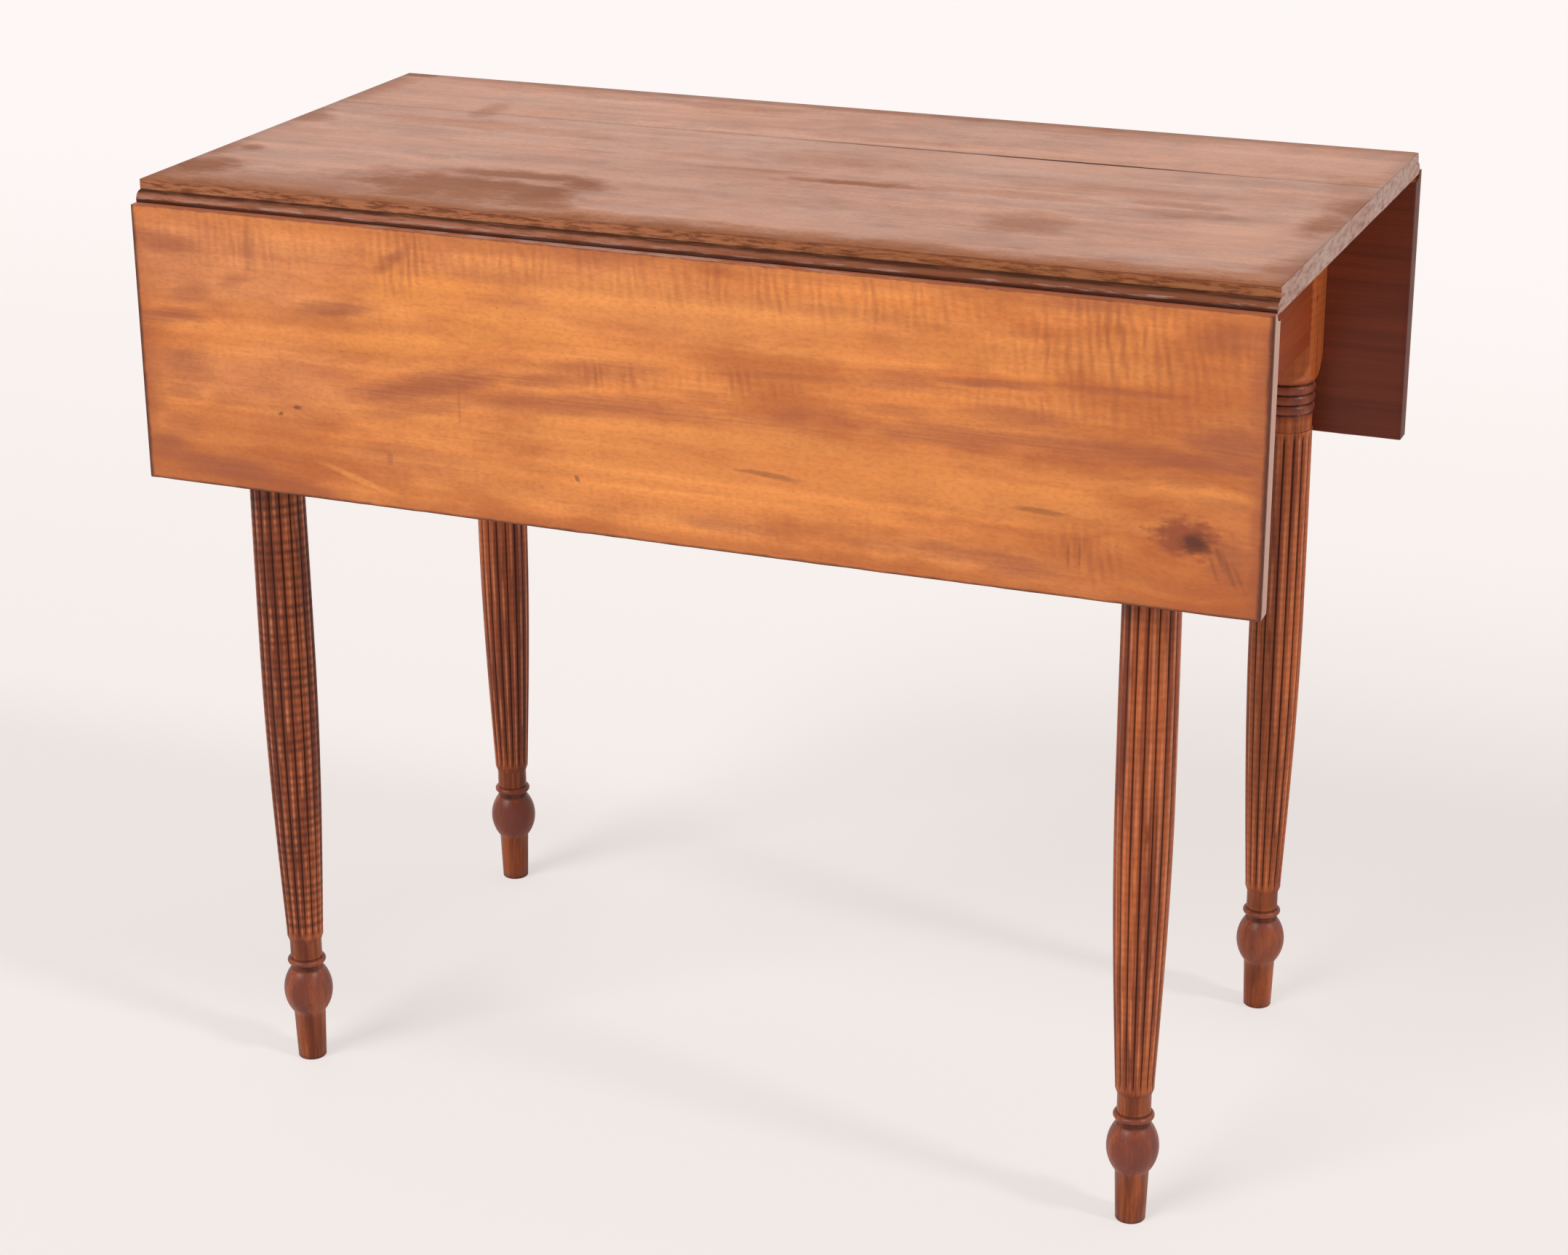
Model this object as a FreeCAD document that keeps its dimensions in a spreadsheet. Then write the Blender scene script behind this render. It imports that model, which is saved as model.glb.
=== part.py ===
import FreeCAD
import Part
import Sketcher
import math
import os
import re

# Drop-leaf table, +Z up, origin on the floor under the middle of the top.
# X runs along the leaves, the front leaf hangs on the -Y side.

# Driving dimensions, in millimetres unless the name says otherwise
sizes = {
    # Top and leaves
    "height": 724,
    "table_length": 864,
    "top_width": 420,
    "board_thickness": 18,
    "back_board_width": 123,
    "leaf_width": 212,
    "edge_round": 1.5,
    # Rule joint: a fillet over a quarter round that turns in the leaf's cove
    "fillet_height": 8,
    "pin_rise": 3,
    "rule_gap": 0.8,
    # Legs
    "leg_inset": 86,
    "leaf_clear": 0.5,
    "post_width": 43,
    "peg_foot_diameter": 22.4,
    "peg_diameter": 25.2,
    "peg_height": 41,
    "ball_height": 39,
    "ball_diameter": 38.8,
    "cove_height": 4,
    "cove_diameter": 25.6,
    "ring_height": 5,
    "ring_diameter": 30.6,
    "neck_height": 20,
    "neck_diameter": 25.2,
    "neck_flare_height": 5,
    "shaft_height": 396,
    "shaft_foot_diameter": 28.8,
    "shaft_swell_diameter": 43,
    "shaft_head_diameter": 41.8,
    "reed_end_height": 7,
    "band_height": 14,
    "band_diameter": 40,
    "bead_height": 8,
    "bead_diameter": 43,
    "bead_groove_diameter": 38.6,
    "pommel_height": 30,
    # Rails and their joints
    "rail_height": 128,
    "end_rail_thickness": 20,
    "end_rail_setback": 2,
    "inner_rail_thickness": 20,
    "outer_rail_thickness": 19,
    "outer_rail_setback": 6,
    "tenon_thickness": 9.5,
    "tenon_shoulder": 12,
    "end_tenon_length": 28,
    "tenon_clear": 1.2,
    "joint_gap": 0.1,
    "dowel_diameter": 6,
    "dowel_inset": 34,
    "side_dowel_depth": 39,
    "glue_block_length": 70,
    "glue_block_width": 24,
    "glue_block_offset": 99.5,
    # Fly brackets and their wooden knuckles
    "fly_reach": 190,
    "fly_clear": 0.5,
    "saw_kerf": 2,
    "fly_pin_diameter": 6,
    "knuckle_play": 0.6,
    "running_gap": 0.05,
    # Iron hinges
    "hinge_inset": 150,
    "hinge_width": 38,
    "hinge_top_reach": 42,
    "hinge_leaf_reach": 78,
    "hinge_plate": 2,
    "hinge_pin_diameter": 3,
    "hinge_play": 0.3,
    "let_in_gap": 0.1,
    # Screws
    "hinge_screw_length": 12,
    "hinge_screw_diameter": 3.4,
    "hinge_screw_head": 6.6,
    "slot_width": 0.9,
    "slot_depth": 0.7,
    "top_screw_length": 34,
    "top_screw_diameter": 4.4,
    "top_screw_head": 8.6,
    "top_screw_seat": 22,
    "top_screw_offset": 150,
    "pocket_diameter": 14,
    "pocket_length": 60,
    # One overrun for all cuts
    "overrun": 5,
}

# Counts, angles in degrees, and shares of the sizes that they follow
reed_count = 16
bead_count = 3
knuckle_count = 5
shaft_step_count = 9
pocket_angle = 15
right_angle = 90
ball_middle_share = 0.57
reed_depth_share = 0.085
swell_share = 0.6
pommel_shares = (0.72, 0.36)
ogee_shares = (0.80, 0.83, 0.12, 0.88, 0.42, 0.94, 0.72)
top_screw_spots_shares = ((-0.28, 0.36), (0.28, 0.36), (0.0, 0.74))
leaf_screw_spots_shares = ((-0.28, 0.30), (0.28, 0.54), (-0.14, 0.80))

# Places and sizes that follow from the driving dimensions
places = {
    "ovolo": "board_thickness - fillet_height - pin_rise",
    "cove": "ovolo + rule_gap",
    "pin_y": "top_width / 2",
    "pin_z": "height - fillet_height - ovolo",
    "underside": "height - board_thickness",
    "seam_y": "pin_y - back_board_width",
    "leaf_inner": "pin_y - pin_rise",
    "leaf_outer": "pin_y + ovolo + fillet_height",
    "leaf_ledge": "pin_z - rule_gap",
    "leaf_bottom": "leaf_ledge - leaf_width",
    "leg_x": "table_length / 2 - leg_inset",
    "leg_y": "leaf_inner - leaf_clear - post_width / 2",
    "post_inner_x": "leg_x - post_width / 2",
    "post_inner_y": "leg_y - post_width / 2",
    "ball_top": "peg_height + ball_height",
    "ring_bottom": "ball_top + cove_height",
    "ring_top": "ring_bottom + ring_height",
    "neck_top": "ring_top + neck_height",
    "shaft_top": "neck_top + shaft_height",
    "band_top": "shaft_top + band_height",
    "collar_top": f"band_top + {bead_count} * bead_height",
    "rail_bottom": "underside - rail_height",
    "rail_middle": "underside - rail_height / 2",
    "end_rail_x": "leg_x + post_width / 2 - end_rail_setback - end_rail_thickness / 2",
    "outer_rail_y": "leg_y + post_width / 2 - outer_rail_setback - outer_rail_thickness / 2",
    "inner_rail_outer": "outer_rail_y - outer_rail_thickness / 2",
    "inner_rail_y": "inner_rail_outer - inner_rail_thickness / 2",
    "side_tenon_y": "inner_rail_outer - tenon_thickness / 2",
    "side_tenon_length": "end_rail_x - tenon_thickness / 2 - tenon_clear - post_inner_x",
    "tenon_height": "rail_height - 2 * tenon_shoulder",
    "dowel_side_x": "post_inner_x + side_tenon_length / 2",
    "dowel_end_y": "post_inner_y + end_tenon_length / 2",
    "end_dowel_depth": "end_rail_setback + (end_rail_thickness + tenon_thickness) / 2",
    "knuckle_height": f"rail_height / {knuckle_count}",
    "knuckle_radius": "outer_rail_thickness / 2 - fly_clear",
    "hinge_x": "table_length / 2 - hinge_inset",
    "barrel_height": f"hinge_width / {knuckle_count}",
    "barrel_reach": "pin_rise + hinge_play",
}

doc = FreeCAD.newDocument("drop_leaf_table")
sheet = doc.addObject("Spreadsheet::Sheet", "Sizes")
for row, (alias, size) in enumerate(sizes.items(), start=1):
    sheet.set(f"A{row}", alias)
    sheet.set(f"B{row}", str(size))
    sheet.setAlias(f"B{row}", alias)
doc.recompute()


def spell(text):
    """Write an expression in sheet cells, with every named place spelled out."""
    def word(match):
        name = match.group(0)
        if name in sizes:
            return "Sizes." + name
        if name in places:
            return "(" + spell(places[name]) + ")"
        return name
    return re.sub(r"[a-z_]\w*", word, str(text))


def measure(text):
    return float(sheet.evalExpression(spell(text)))


def bind(item, prop, text):
    item.setExpression(prop, spell(text))


def place(item, spot):
    for letter, text in zip("xyz", spot):
        bind(item, f"Placement.Base.{letter}", text)


def block(name, middle, size):
    """Rectangular block about its middle."""
    item = doc.addObject("Part::Box", name)
    for prop, text in zip(("Length", "Width", "Height"), size):
        bind(item, prop, text)
    place(item, [f"({m}) - ({s}) / 2" for m, s in zip(middle, size)])
    return item


axis_turns = {"x": ((0, 1, 0), right_angle), "y": ((1, 0, 0), -right_angle), "z": ((0, 0, 1), 0)}


def rod(name, axis, start, diameter, length):
    """Round rod from a start point along an axis."""
    item = doc.addObject("Part::Cylinder", name)
    bind(item, "Radius", f"({diameter}) / 2")
    bind(item, "Height", length)
    turn_axis, angle = axis_turns[axis]
    item.Placement.Rotation = FreeCAD.Rotation(FreeCAD.Vector(*turn_axis), angle)
    place(item, start)
    return item


def fuse(name, items):
    joined = doc.addObject("Part::MultiFuse", name)
    joined.Shapes = items
    joined.Refine = True
    return joined


def cut(name, base, tools):
    result = doc.addObject("Part::Cut", name)
    result.Base = base
    result.Tool = tools[0] if len(tools) == 1 else fuse(name + "_cutters", tools)
    return result


def group(name, items):
    bundle = doc.addObject("Part::Compound", name)
    bundle.Links = items
    return bundle


def mirror(name, source, axis):
    """The same piece on the other side of the table."""
    image = doc.addObject("Part::Mirroring", name)
    image.Source = source
    image.Normal = FreeCAD.Vector(*[float(letter == axis) for letter in "xyz"])
    return image


def outline(body, plane_role, corners):
    """Closed sketch through the corners; a corner with a third entry starts an arc through that point."""
    sketch = body.newObject("Sketcher::SketchObject", body.Name + "_outline")
    plane = next(item for item in body.Origin.OriginFeatures if item.Role == plane_role)
    sketch.AttachmentSupport = [(plane, "")]
    sketch.MapMode = "FlatFace"
    spots = [FreeCAD.Vector(measure(corner[0]), measure(corner[1]), 0) for corner in corners]
    vertices = []
    for number, corner in enumerate(corners):
        start = spots[number]
        end = spots[(number + 1) % len(corners)]
        if len(corner) == 2:
            edge = sketch.addGeometry(Part.LineSegment(start, end))
            vertices.append(((edge, 1), (edge, 2)))
            continue
        via = FreeCAD.Vector(measure(corner[2][0]), measure(corner[2][1]), 0)
        leftward = (via - start).cross(end - via).z > 0
        edge = sketch.addGeometry(Part.Arc(start, via, end) if leftward else Part.Arc(end, via, start))
        vertices.append(((edge, 1), (edge, 2)) if leftward else ((edge, 2), (edge, 1)))
        point = sketch.addGeometry(Part.Point(via), True)
        pin_point(sketch, (point, 1), corner[2])
        sketch.addConstraint(Sketcher.Constraint("PointOnObject", point, 1, edge))
    for number, corner in enumerate(corners):
        first = vertices[number][0]
        last = vertices[number - 1][1]
        sketch.addConstraint(Sketcher.Constraint("Coincident", *last, *first))
        pin_point(sketch, first, corner)
    return sketch


def pin_point(sketch, vertex, spot):
    """Fix a sketch point by its two coordinates."""
    for kind, text in zip(("DistanceX", "DistanceY"), spot):
        index = sketch.addConstraint(Sketcher.Constraint(kind, -1, 1, *vertex, measure(text)))
        sketch.setExpression(f"Constraints[{index}]", spell(text))


def padded(name, plane_role, corners, thickness):
    """Body padded both ways from its sketch."""
    body = doc.addObject("PartDesign::Body", name)
    sketch = outline(body, plane_role, corners)
    pad = body.newObject("PartDesign::Pad", name + "_pad")
    pad.Profile = sketch
    pad.SideType = "Symmetric"
    bind(pad, "Length", thickness)
    return body


def turned(name, corners):
    """Body turned about its own Z axis from a half outline."""
    body = doc.addObject("PartDesign::Body", name)
    sketch = outline(body, "XZ_Plane", corners)
    turning = body.newObject("PartDesign::Revolution", name + "_turning")
    turning.Profile = sketch
    turning.ReferenceAxis = (sketch, ["V_Axis"])
    return body


# Arc points at 45 degrees lie this share of the radius along each axis
diagonal_share = math.sqrt(0.5)


# Wood screws: countersunk head, plain shank, slot
def screw_solid(name, axis_rotation, start, head, shank, length, grow, along):
    """Head cone and shank from the head's face, along a unit direction given as expressions."""
    depth = f"(({head}) - ({shank})) / 2"
    cone = doc.addObject("Part::Cone", name + "_head")
    bind(cone, "Radius1", f"({head}) / 2 + {grow}")
    bind(cone, "Radius2", f"({shank}) / 2 + {grow}")
    bind(cone, "Height", depth)
    stem = doc.addObject("Part::Cylinder", name + "_shank")
    bind(stem, "Radius", f"({shank}) / 2 + {grow}")
    bind(stem, "Height", f"({length}) - ({depth}) + {grow}")
    for item, offset in ((cone, "0"), (stem, depth)):
        item.Placement.Rotation = axis_rotation
        place(item, [f"({s}) + ({offset}) * ({a})" for s, a in zip(start, along)])
    return fuse(name, [cone, stem])


def slotted(name, solid, axis, face):
    """Cut the driver slot across a screw head whose face has the given middle."""
    reach = "hinge_screw_head + overrun"
    size = {"z": (reach, "slot_width", "2 * slot_depth"), "y": (reach, "2 * slot_depth", "slot_width")}
    return cut(name, solid, [block(name + "_slot", face, size[axis])])


# Iron hinge on the +X end of the back leaf; the other three are its mirror images
upward = FreeCAD.Rotation()
outward = FreeCAD.Rotation(FreeCAD.Vector(1, 0, 0), -right_angle)


def barrel(name, numbers, plate_middle, tab_middle, tab_size):
    """Plate with the hinge knuckles of the given numbers and a bore for the pin."""
    pieces = [plate_middle]
    for number in numbers:
        low = f"hinge_x - hinge_width / 2 + {number} * barrel_height + hinge_play / 2"
        tall = "barrel_height - hinge_play"
        pieces.append(rod(f"{name}_knuckle_{number}", "x", (low, "pin_y", "pin_z"), "2 * pin_rise", tall))
        middle = (f"{low} + ({tall}) / 2", *tab_middle)
        pieces.append(block(f"{name}_tab_{number}", middle, (tall, *tab_size)))
    bore = rod(name + "_bore", "x", ("hinge_x - hinge_width", "pin_y", "pin_z"),
               "hinge_pin_diameter + 2 * running_gap", "2 * hinge_width")
    return fuse(name + "_blank", pieces), bore


top_plate_middle_y = "pin_y - (hinge_top_reach + barrel_reach) / 2"
top_plate = block("top_plate_flat", ("hinge_x", top_plate_middle_y, "underside + hinge_plate / 2"),
                  ("hinge_width", "hinge_top_reach - barrel_reach", "hinge_plate"))
top_blank, top_bore = barrel("top_plate", range(0, knuckle_count, 2), top_plate,
                             ("pin_y - barrel_reach / 2", "underside + hinge_plate / 2"),
                             ("barrel_reach", "hinge_plate"))
leaf_plate_middle_z = "pin_z - (hinge_leaf_reach + barrel_reach) / 2"
leaf_plate = block("leaf_plate_flat", ("hinge_x", "leaf_inner + hinge_plate / 2", leaf_plate_middle_z),
                   ("hinge_width", "hinge_plate", "hinge_leaf_reach - barrel_reach"))
leaf_blank, leaf_bore = barrel("leaf_plate", range(1, knuckle_count, 2), leaf_plate,
                               ("leaf_inner + hinge_plate / 2", "pin_z - barrel_reach / 2"),
                               ("hinge_plate", "barrel_reach"))

top_hinge_screws = []
top_screw_holes = []
for number, (across, along) in enumerate(top_screw_spots_shares):
    face = (f"hinge_x + {across} * hinge_width", f"pin_y - {along} * hinge_top_reach", "underside")
    args = (upward, face, "hinge_screw_head", "hinge_screw_diameter", "hinge_screw_length")
    solid = screw_solid(f"top_hinge_screw_{number}_blank", *args, "0", ("0", "0", "1"))
    top_hinge_screws.append(slotted(f"top_hinge_screw_{number}", solid, "z", face))
    top_screw_holes.append(screw_solid(f"top_hinge_hole_{number}", *args, "running_gap", ("0", "0", "1")))

leaf_hinge_screws = []
leaf_screw_holes = []
for number, (across, along) in enumerate(leaf_screw_spots_shares):
    face = (f"hinge_x + {across} * hinge_width", "leaf_inner", f"pin_z - {along} * hinge_leaf_reach")
    args = (outward, face, "hinge_screw_head", "hinge_screw_diameter", "hinge_screw_length")
    solid = screw_solid(f"leaf_hinge_screw_{number}_blank", *args, "0", ("0", "1", "0"))
    leaf_hinge_screws.append(slotted(f"leaf_hinge_screw_{number}", solid, "y", face))
    leaf_screw_holes.append(screw_solid(f"leaf_hinge_hole_{number}", *args, "running_gap", ("0", "1", "0")))

back_right_top_plate = cut("back_right_hinge_top_plate", top_blank, [top_bore, *top_screw_holes])
back_right_leaf_plate = cut("back_right_hinge_leaf_plate", leaf_blank, [leaf_bore, *leaf_screw_holes])
back_right_hinge_pin = rod("back_right_hinge_pin", "x", ("hinge_x - hinge_width / 2", "pin_y", "pin_z"),
                           "hinge_pin_diameter", "hinge_width")

# Recesses for that hinge: plate bed, room for the leaf plate to swing, gutter for the knuckles
gain_width = "hinge_width + 2 * let_in_gap"
plate_bed = "hinge_plate + let_in_gap"
bed_inner = "pin_y - hinge_top_reach - let_in_gap"
edge_reach = "ovolo + overrun"
top_gains = fuse("top_gains", [
    block("top_plate_bed",
          ("hinge_x", f"(({bed_inner}) + pin_y) / 2", f"underside + ({plate_bed} - overrun) / 2"),
          (gain_width, f"pin_y - ({bed_inner})", f"{plate_bed} + overrun")),
    block("leaf_plate_way",
          ("hinge_x", f"pin_y + ({edge_reach}) / 2", f"underside + ({plate_bed} - overrun) / 2"),
          (gain_width, edge_reach, f"{plate_bed} + overrun")),
    rod("knuckle_gutter", "x", (f"hinge_x - ({gain_width}) / 2", "pin_y", "pin_z"),
        "2 * barrel_reach", gain_width),
    *top_screw_holes,
])
leaf_bed_height = "hinge_leaf_reach + let_in_gap"
leaf_gains = fuse("leaf_gains", [
    block("leaf_plate_bed", ("hinge_x", f"leaf_inner + ({plate_bed} - overrun) / 2",
                             f"pin_z - ({leaf_bed_height}) / 2"),
          (gain_width, f"{plate_bed} + overrun", leaf_bed_height)),
    *leaf_screw_holes,
])
top_gains_left = mirror("top_gains_left", top_gains, "x")
leaf_gains_left = mirror("leaf_gains_left", leaf_gains, "x")


# Pocket screws from the rails up into the top
def pocket_screw(name, turn_axis, turn_angle, foot, lean):
    """Screw, its hole and the gouged pocket, leaning towards +lean where it crosses the rail's top edge."""
    rotation = FreeCAD.Rotation(FreeCAD.Vector(*turn_axis), turn_angle)
    rise = [f"{share} * sin({pocket_angle})" for share in lean] + [f"cos({pocket_angle})"]
    seat = [f"({f}) - top_screw_seat * ({r})" for f, r in zip(foot, rise)]
    args = (rotation, seat, "top_screw_head", "top_screw_diameter", "top_screw_length")
    screw = screw_solid(name, *args, "0", rise)
    hole = screw_solid(name + "_hole", *args, "running_gap", rise)
    pocket = doc.addObject("Part::Cylinder", name + "_pocket")
    bind(pocket, "Radius", "pocket_diameter / 2")
    bind(pocket, "Height", "pocket_length")
    pocket.Placement.Rotation = rotation
    place(pocket, [f"({s}) - pocket_length * ({r})" for s, r in zip(seat, rise)])
    return screw, hole, pocket


side_screw, side_hole, side_pocket = pocket_screw(
    "side_top_screw", (1, 0, 0), -pocket_angle, ("top_screw_offset", "inner_rail_y", "underside"), (0, 1))
end_screw, end_hole, end_pocket = pocket_screw(
    "end_top_screw", (0, 1, 0), pocket_angle, ("end_rail_x", "0", "underside"), (1, 0))
side_hole_left = mirror("side_hole_left", side_hole, "x")
side_pocket_left = mirror("side_pocket_left", side_pocket, "x")
end_hole_left = mirror("end_hole_left", end_hole, "x")


# Fixed top: two boards, each with a rule-joint edge
def board_outline(side, inner):
    edge = f"{side} * (pin_y + {diagonal_share} * ovolo)"
    return [
        (inner, "underside"),
        (f"{side} * (pin_y + sqrt(ovolo ^ 2 - pin_rise ^ 2))", "underside",
         (edge, f"pin_z + {diagonal_share} * ovolo")),
        (f"{side} * pin_y", "pin_z + ovolo"),
        (f"{side} * pin_y", "height"),
        (inner, "height"),
    ]


back_board_cuts = [top_gains, top_gains_left, side_hole, side_hole_left]
front_board_cuts = [mirror(item.Name + "_front", item, "y") for item in back_board_cuts]
back_board = padded("back_board_plain", "YZ_Plane", board_outline(1, "seam_y"), "table_length")
front_board = padded("front_board_plain", "YZ_Plane", board_outline(-1, "seam_y"), "table_length")
nodes = [
    cut("top_back_board", back_board, back_board_cuts),
    cut("top_front_board", front_board, [*front_board_cuts, end_hole, end_hole_left]),
]

# Leaves: the ledge and cove of the rule joint above, softened arrises below
soft = f"(1 - {diagonal_share}) * edge_round"
leaf_plain = padded("leaf_plain", "YZ_Plane", [
    ("leaf_inner", "pin_z - cove"),
    ("pin_y", "pin_z - cove", (f"pin_y + {diagonal_share} * cove", f"pin_z - {diagonal_share} * cove")),
    ("pin_y + sqrt(cove ^ 2 - rule_gap ^ 2)", "leaf_ledge"),
    ("leaf_outer", "leaf_ledge"),
    ("leaf_outer", "leaf_bottom + edge_round", (f"leaf_outer - {soft}", f"leaf_bottom + {soft}")),
    ("leaf_outer - edge_round", "leaf_bottom"),
    ("leaf_inner + edge_round", "leaf_bottom", (f"leaf_inner + {soft}", f"leaf_bottom + {soft}")),
    ("leaf_inner", "leaf_bottom + edge_round"),
], "table_length")
back_leaf = cut("back_leaf", leaf_plain, [leaf_gains, leaf_gains_left])
nodes += [back_leaf, mirror("front_leaf", back_leaf, "y")]

# Back right leg; the other three are its mirror images
foot = turned("leg_foot", [
    ("0", "0"),
    ("peg_foot_diameter / 2", "0"),
    ("peg_diameter / 2", "peg_height",
     ("ball_diameter / 2", f"peg_height + {ball_middle_share} * ball_height")),
    ("cove_diameter / 2", "ball_top"),
    ("cove_diameter / 2", "ring_bottom", ("ring_diameter / 2", "ring_bottom + ring_height / 2")),
    ("neck_diameter / 2", "ring_top"),
    ("neck_diameter / 2", "neck_top - neck_flare_height"),
    ("shaft_foot_diameter / 2", "neck_top"),
    ("0", "neck_top"),
])
collar_corners = [("0", "shaft_top"), ("band_diameter / 2", "shaft_top"), ("band_diameter / 2", "band_top")]
for number in range(bead_count):
    low = f"band_top + {number} * bead_height"
    crest = ("bead_diameter / 2", f"{low} + bead_height / 2")
    collar_corners.append(("bead_groove_diameter / 2", low, crest))
collar_corners += [("bead_groove_diameter / 2", "collar_top"), ("0", "collar_top")]
collar = turned("leg_collar", collar_corners)
corner_radius = f"{diagonal_share} * post_width"
pommel_run, pommel_rise = pommel_shares
envelope = turned("post_envelope", [
    ("0", "collar_top"),
    ("bead_groove_diameter / 2", "collar_top",
     (f"bead_groove_diameter / 2 + {pommel_run} * ({corner_radius} - bead_groove_diameter / 2)",
      f"collar_top + {pommel_rise} * pommel_height")),
    (corner_radius, "collar_top + pommel_height"),
    (f"{corner_radius} + overrun", "collar_top + pommel_height"),
    (f"{corner_radius} + overrun", "underside + overrun"),
    ("0", "underside + overrun"),
])


def reed_ring(radius, depth, level):
    """Closed ring of round reeds at one level of the shaft."""
    pitch = 2 * math.pi / reed_count

    def at(reach, turn):
        return FreeCAD.Vector(reach * math.cos(turn), reach * math.sin(turn), level)

    arcs = []
    for number in range(reed_count):
        turn = number * pitch
        groove = radius - depth
        arcs.append(Part.Arc(at(groove, turn - pitch / 2), at(radius, turn), at(groove, turn + pitch / 2)))
    return Part.Wire([arc.toShape() for arc in arcs])


def shaft_radius(share):
    """Radius at a share of the shaft's height: a quarter sine to the swell, then a slow fall."""
    low = measure("shaft_foot_diameter / 2")
    swell = measure("shaft_swell_diameter / 2")
    head = measure("shaft_head_diameter / 2")
    if share < swell_share:
        return low + (swell - low) * math.sin(math.pi / 2 * share / swell_share)
    return swell - (swell - head) * ((share - swell_share) / (1 - swell_share)) ** 2


def reeded_shaft():
    """Lofted reeds that run out at both ends."""
    bottom = measure("neck_top")
    tall = measure("shaft_height")
    end = measure("reed_end_height")
    rings = []
    for step in range(shaft_step_count + 1):
        level = end + (tall - 2 * end) * step / shaft_step_count
        radius = shaft_radius(level / tall)
        rings.append(reed_ring(radius, radius * reed_depth_share, bottom + level))
    first = reed_ring(shaft_radius(0), 0, bottom)
    last = reed_ring(shaft_radius(1), 0, bottom + tall)
    spans = [[first, rings[0]], rings, [rings[-1], last]]
    lofts = [Part.makeLoft(span, True, len(span) == 2) for span in spans]
    return lofts[0].fuse(lofts[1:])


shaft = doc.addObject("Part::Feature", "leg_shaft")
shaft.Shape = reeded_shaft()
for piece in (foot, collar, envelope, shaft):
    place(piece, ("leg_x", "leg_y", "0"))
post_square = block("post_square", ("leg_x", "leg_y", "(collar_top + underside) / 2"),
                    ("post_width", "post_width", "underside - collar_top"))
post = doc.addObject("Part::MultiCommon", "leg_post")
post.Shapes = [post_square, envelope]
leg_blank = fuse("leg_blank", [foot, shaft, collar, post])


# Tenons, their mortises and the dowels that pin them
def tenons(grow, name):
    """Tenons of the end rail and the inner rail in the back right post, or their mortises with a gap."""
    tall = f"tenon_height + 2 * {grow}"
    thick = f"tenon_thickness + 2 * {grow}"
    end_tenon = block(f"end_{name}", ("end_rail_x", f"post_inner_y + (end_tenon_length + {grow}) / 2",
                                      "rail_middle"), (thick, f"end_tenon_length + {grow}", tall))
    side_tenon = block(f"side_{name}", (f"post_inner_x + (side_tenon_length + {grow}) / 2", "side_tenon_y",
                                        "rail_middle"), (f"side_tenon_length + {grow}", thick, tall))
    return end_tenon, side_tenon


def dowels(grow, name):
    """Two dowels through each tenon, driven from the outer faces of the back right post."""
    end_dowels = []
    side_dowels = []
    thick = f"dowel_diameter + 2 * {grow}"
    for number, level in enumerate(("rail_bottom + dowel_inset", "underside - dowel_inset")):
        start = ("leg_x + post_width / 2 - end_dowel_depth", "dowel_end_y", level)
        end_dowels.append(rod(f"end_{name}_{number}", "x", start, thick, "end_dowel_depth"))
        start = ("dowel_side_x", "leg_y + post_width / 2 - side_dowel_depth", level)
        side_dowels.append(rod(f"side_{name}_{number}", "y", start, thick, "side_dowel_depth"))
    return end_dowels, side_dowels


end_tenon, side_tenon = tenons("0", "tenon")
end_mortise, side_mortise = tenons("joint_gap", "mortise")
end_dowels, side_dowels = dowels("0", "dowel")
end_dowel_holes, side_dowel_holes = dowels("running_gap", "dowel_hole")
back_right_leg = cut("back_right_leg", leg_blank,
                     [end_mortise, side_mortise, *end_dowel_holes, *side_dowel_holes])
front_right_leg = mirror("front_right_leg", back_right_leg, "y")
nodes += [back_right_leg, front_right_leg, mirror("back_left_leg", back_right_leg, "x"),
          mirror("front_left_leg", front_right_leg, "x")]

# End rails
end_rail_board = block("end_rail_board", ("end_rail_x", "0", "rail_middle"),
                       ("end_rail_thickness", "2 * post_inner_y", "rail_height"))
end_tenon_front = mirror("end_tenon_front", end_tenon, "y")
end_rail_blank = fuse("end_rail_blank", [end_rail_board, end_tenon, end_tenon_front])
front_dowel_holes = [mirror(item.Name + "_front", item, "y") for item in end_dowel_holes]
right_end_rail = cut("right_end_rail", end_rail_blank,
                     [*end_dowel_holes, *front_dowel_holes, end_hole, end_pocket])
nodes += [right_end_rail, mirror("left_end_rail", right_end_rail, "x")]

# Inner side rails
inner_rail_board = block("inner_rail_board", ("0", "inner_rail_y", "rail_middle"),
                         ("2 * post_inner_x", "inner_rail_thickness", "rail_height"))
side_tenon_left = mirror("side_tenon_left", side_tenon, "x")
inner_rail_blank = fuse("inner_rail_blank", [inner_rail_board, side_tenon, side_tenon_left])
left_dowel_holes = [mirror(item.Name + "_left", item, "x") for item in side_dowel_holes]
back_inner_rail = cut("back_inner_rail", inner_rail_blank,
                      [*side_dowel_holes, *left_dowel_holes,
                       side_hole, side_hole_left, side_pocket, side_pocket_left])
nodes += [back_inner_rail, mirror("front_inner_rail", back_inner_rail, "y")]

# Outer rails: a fixed piece with knuckles, the fly that turns on them, a fixed piece beyond the saw kerf
fly_top = "underside - fly_clear"
fly_thickness = "outer_rail_thickness - fly_clear"
foot_share, bow_x, bow_z, turn_x, turn_z, crown_x, crown_z = ogee_shares


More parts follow.
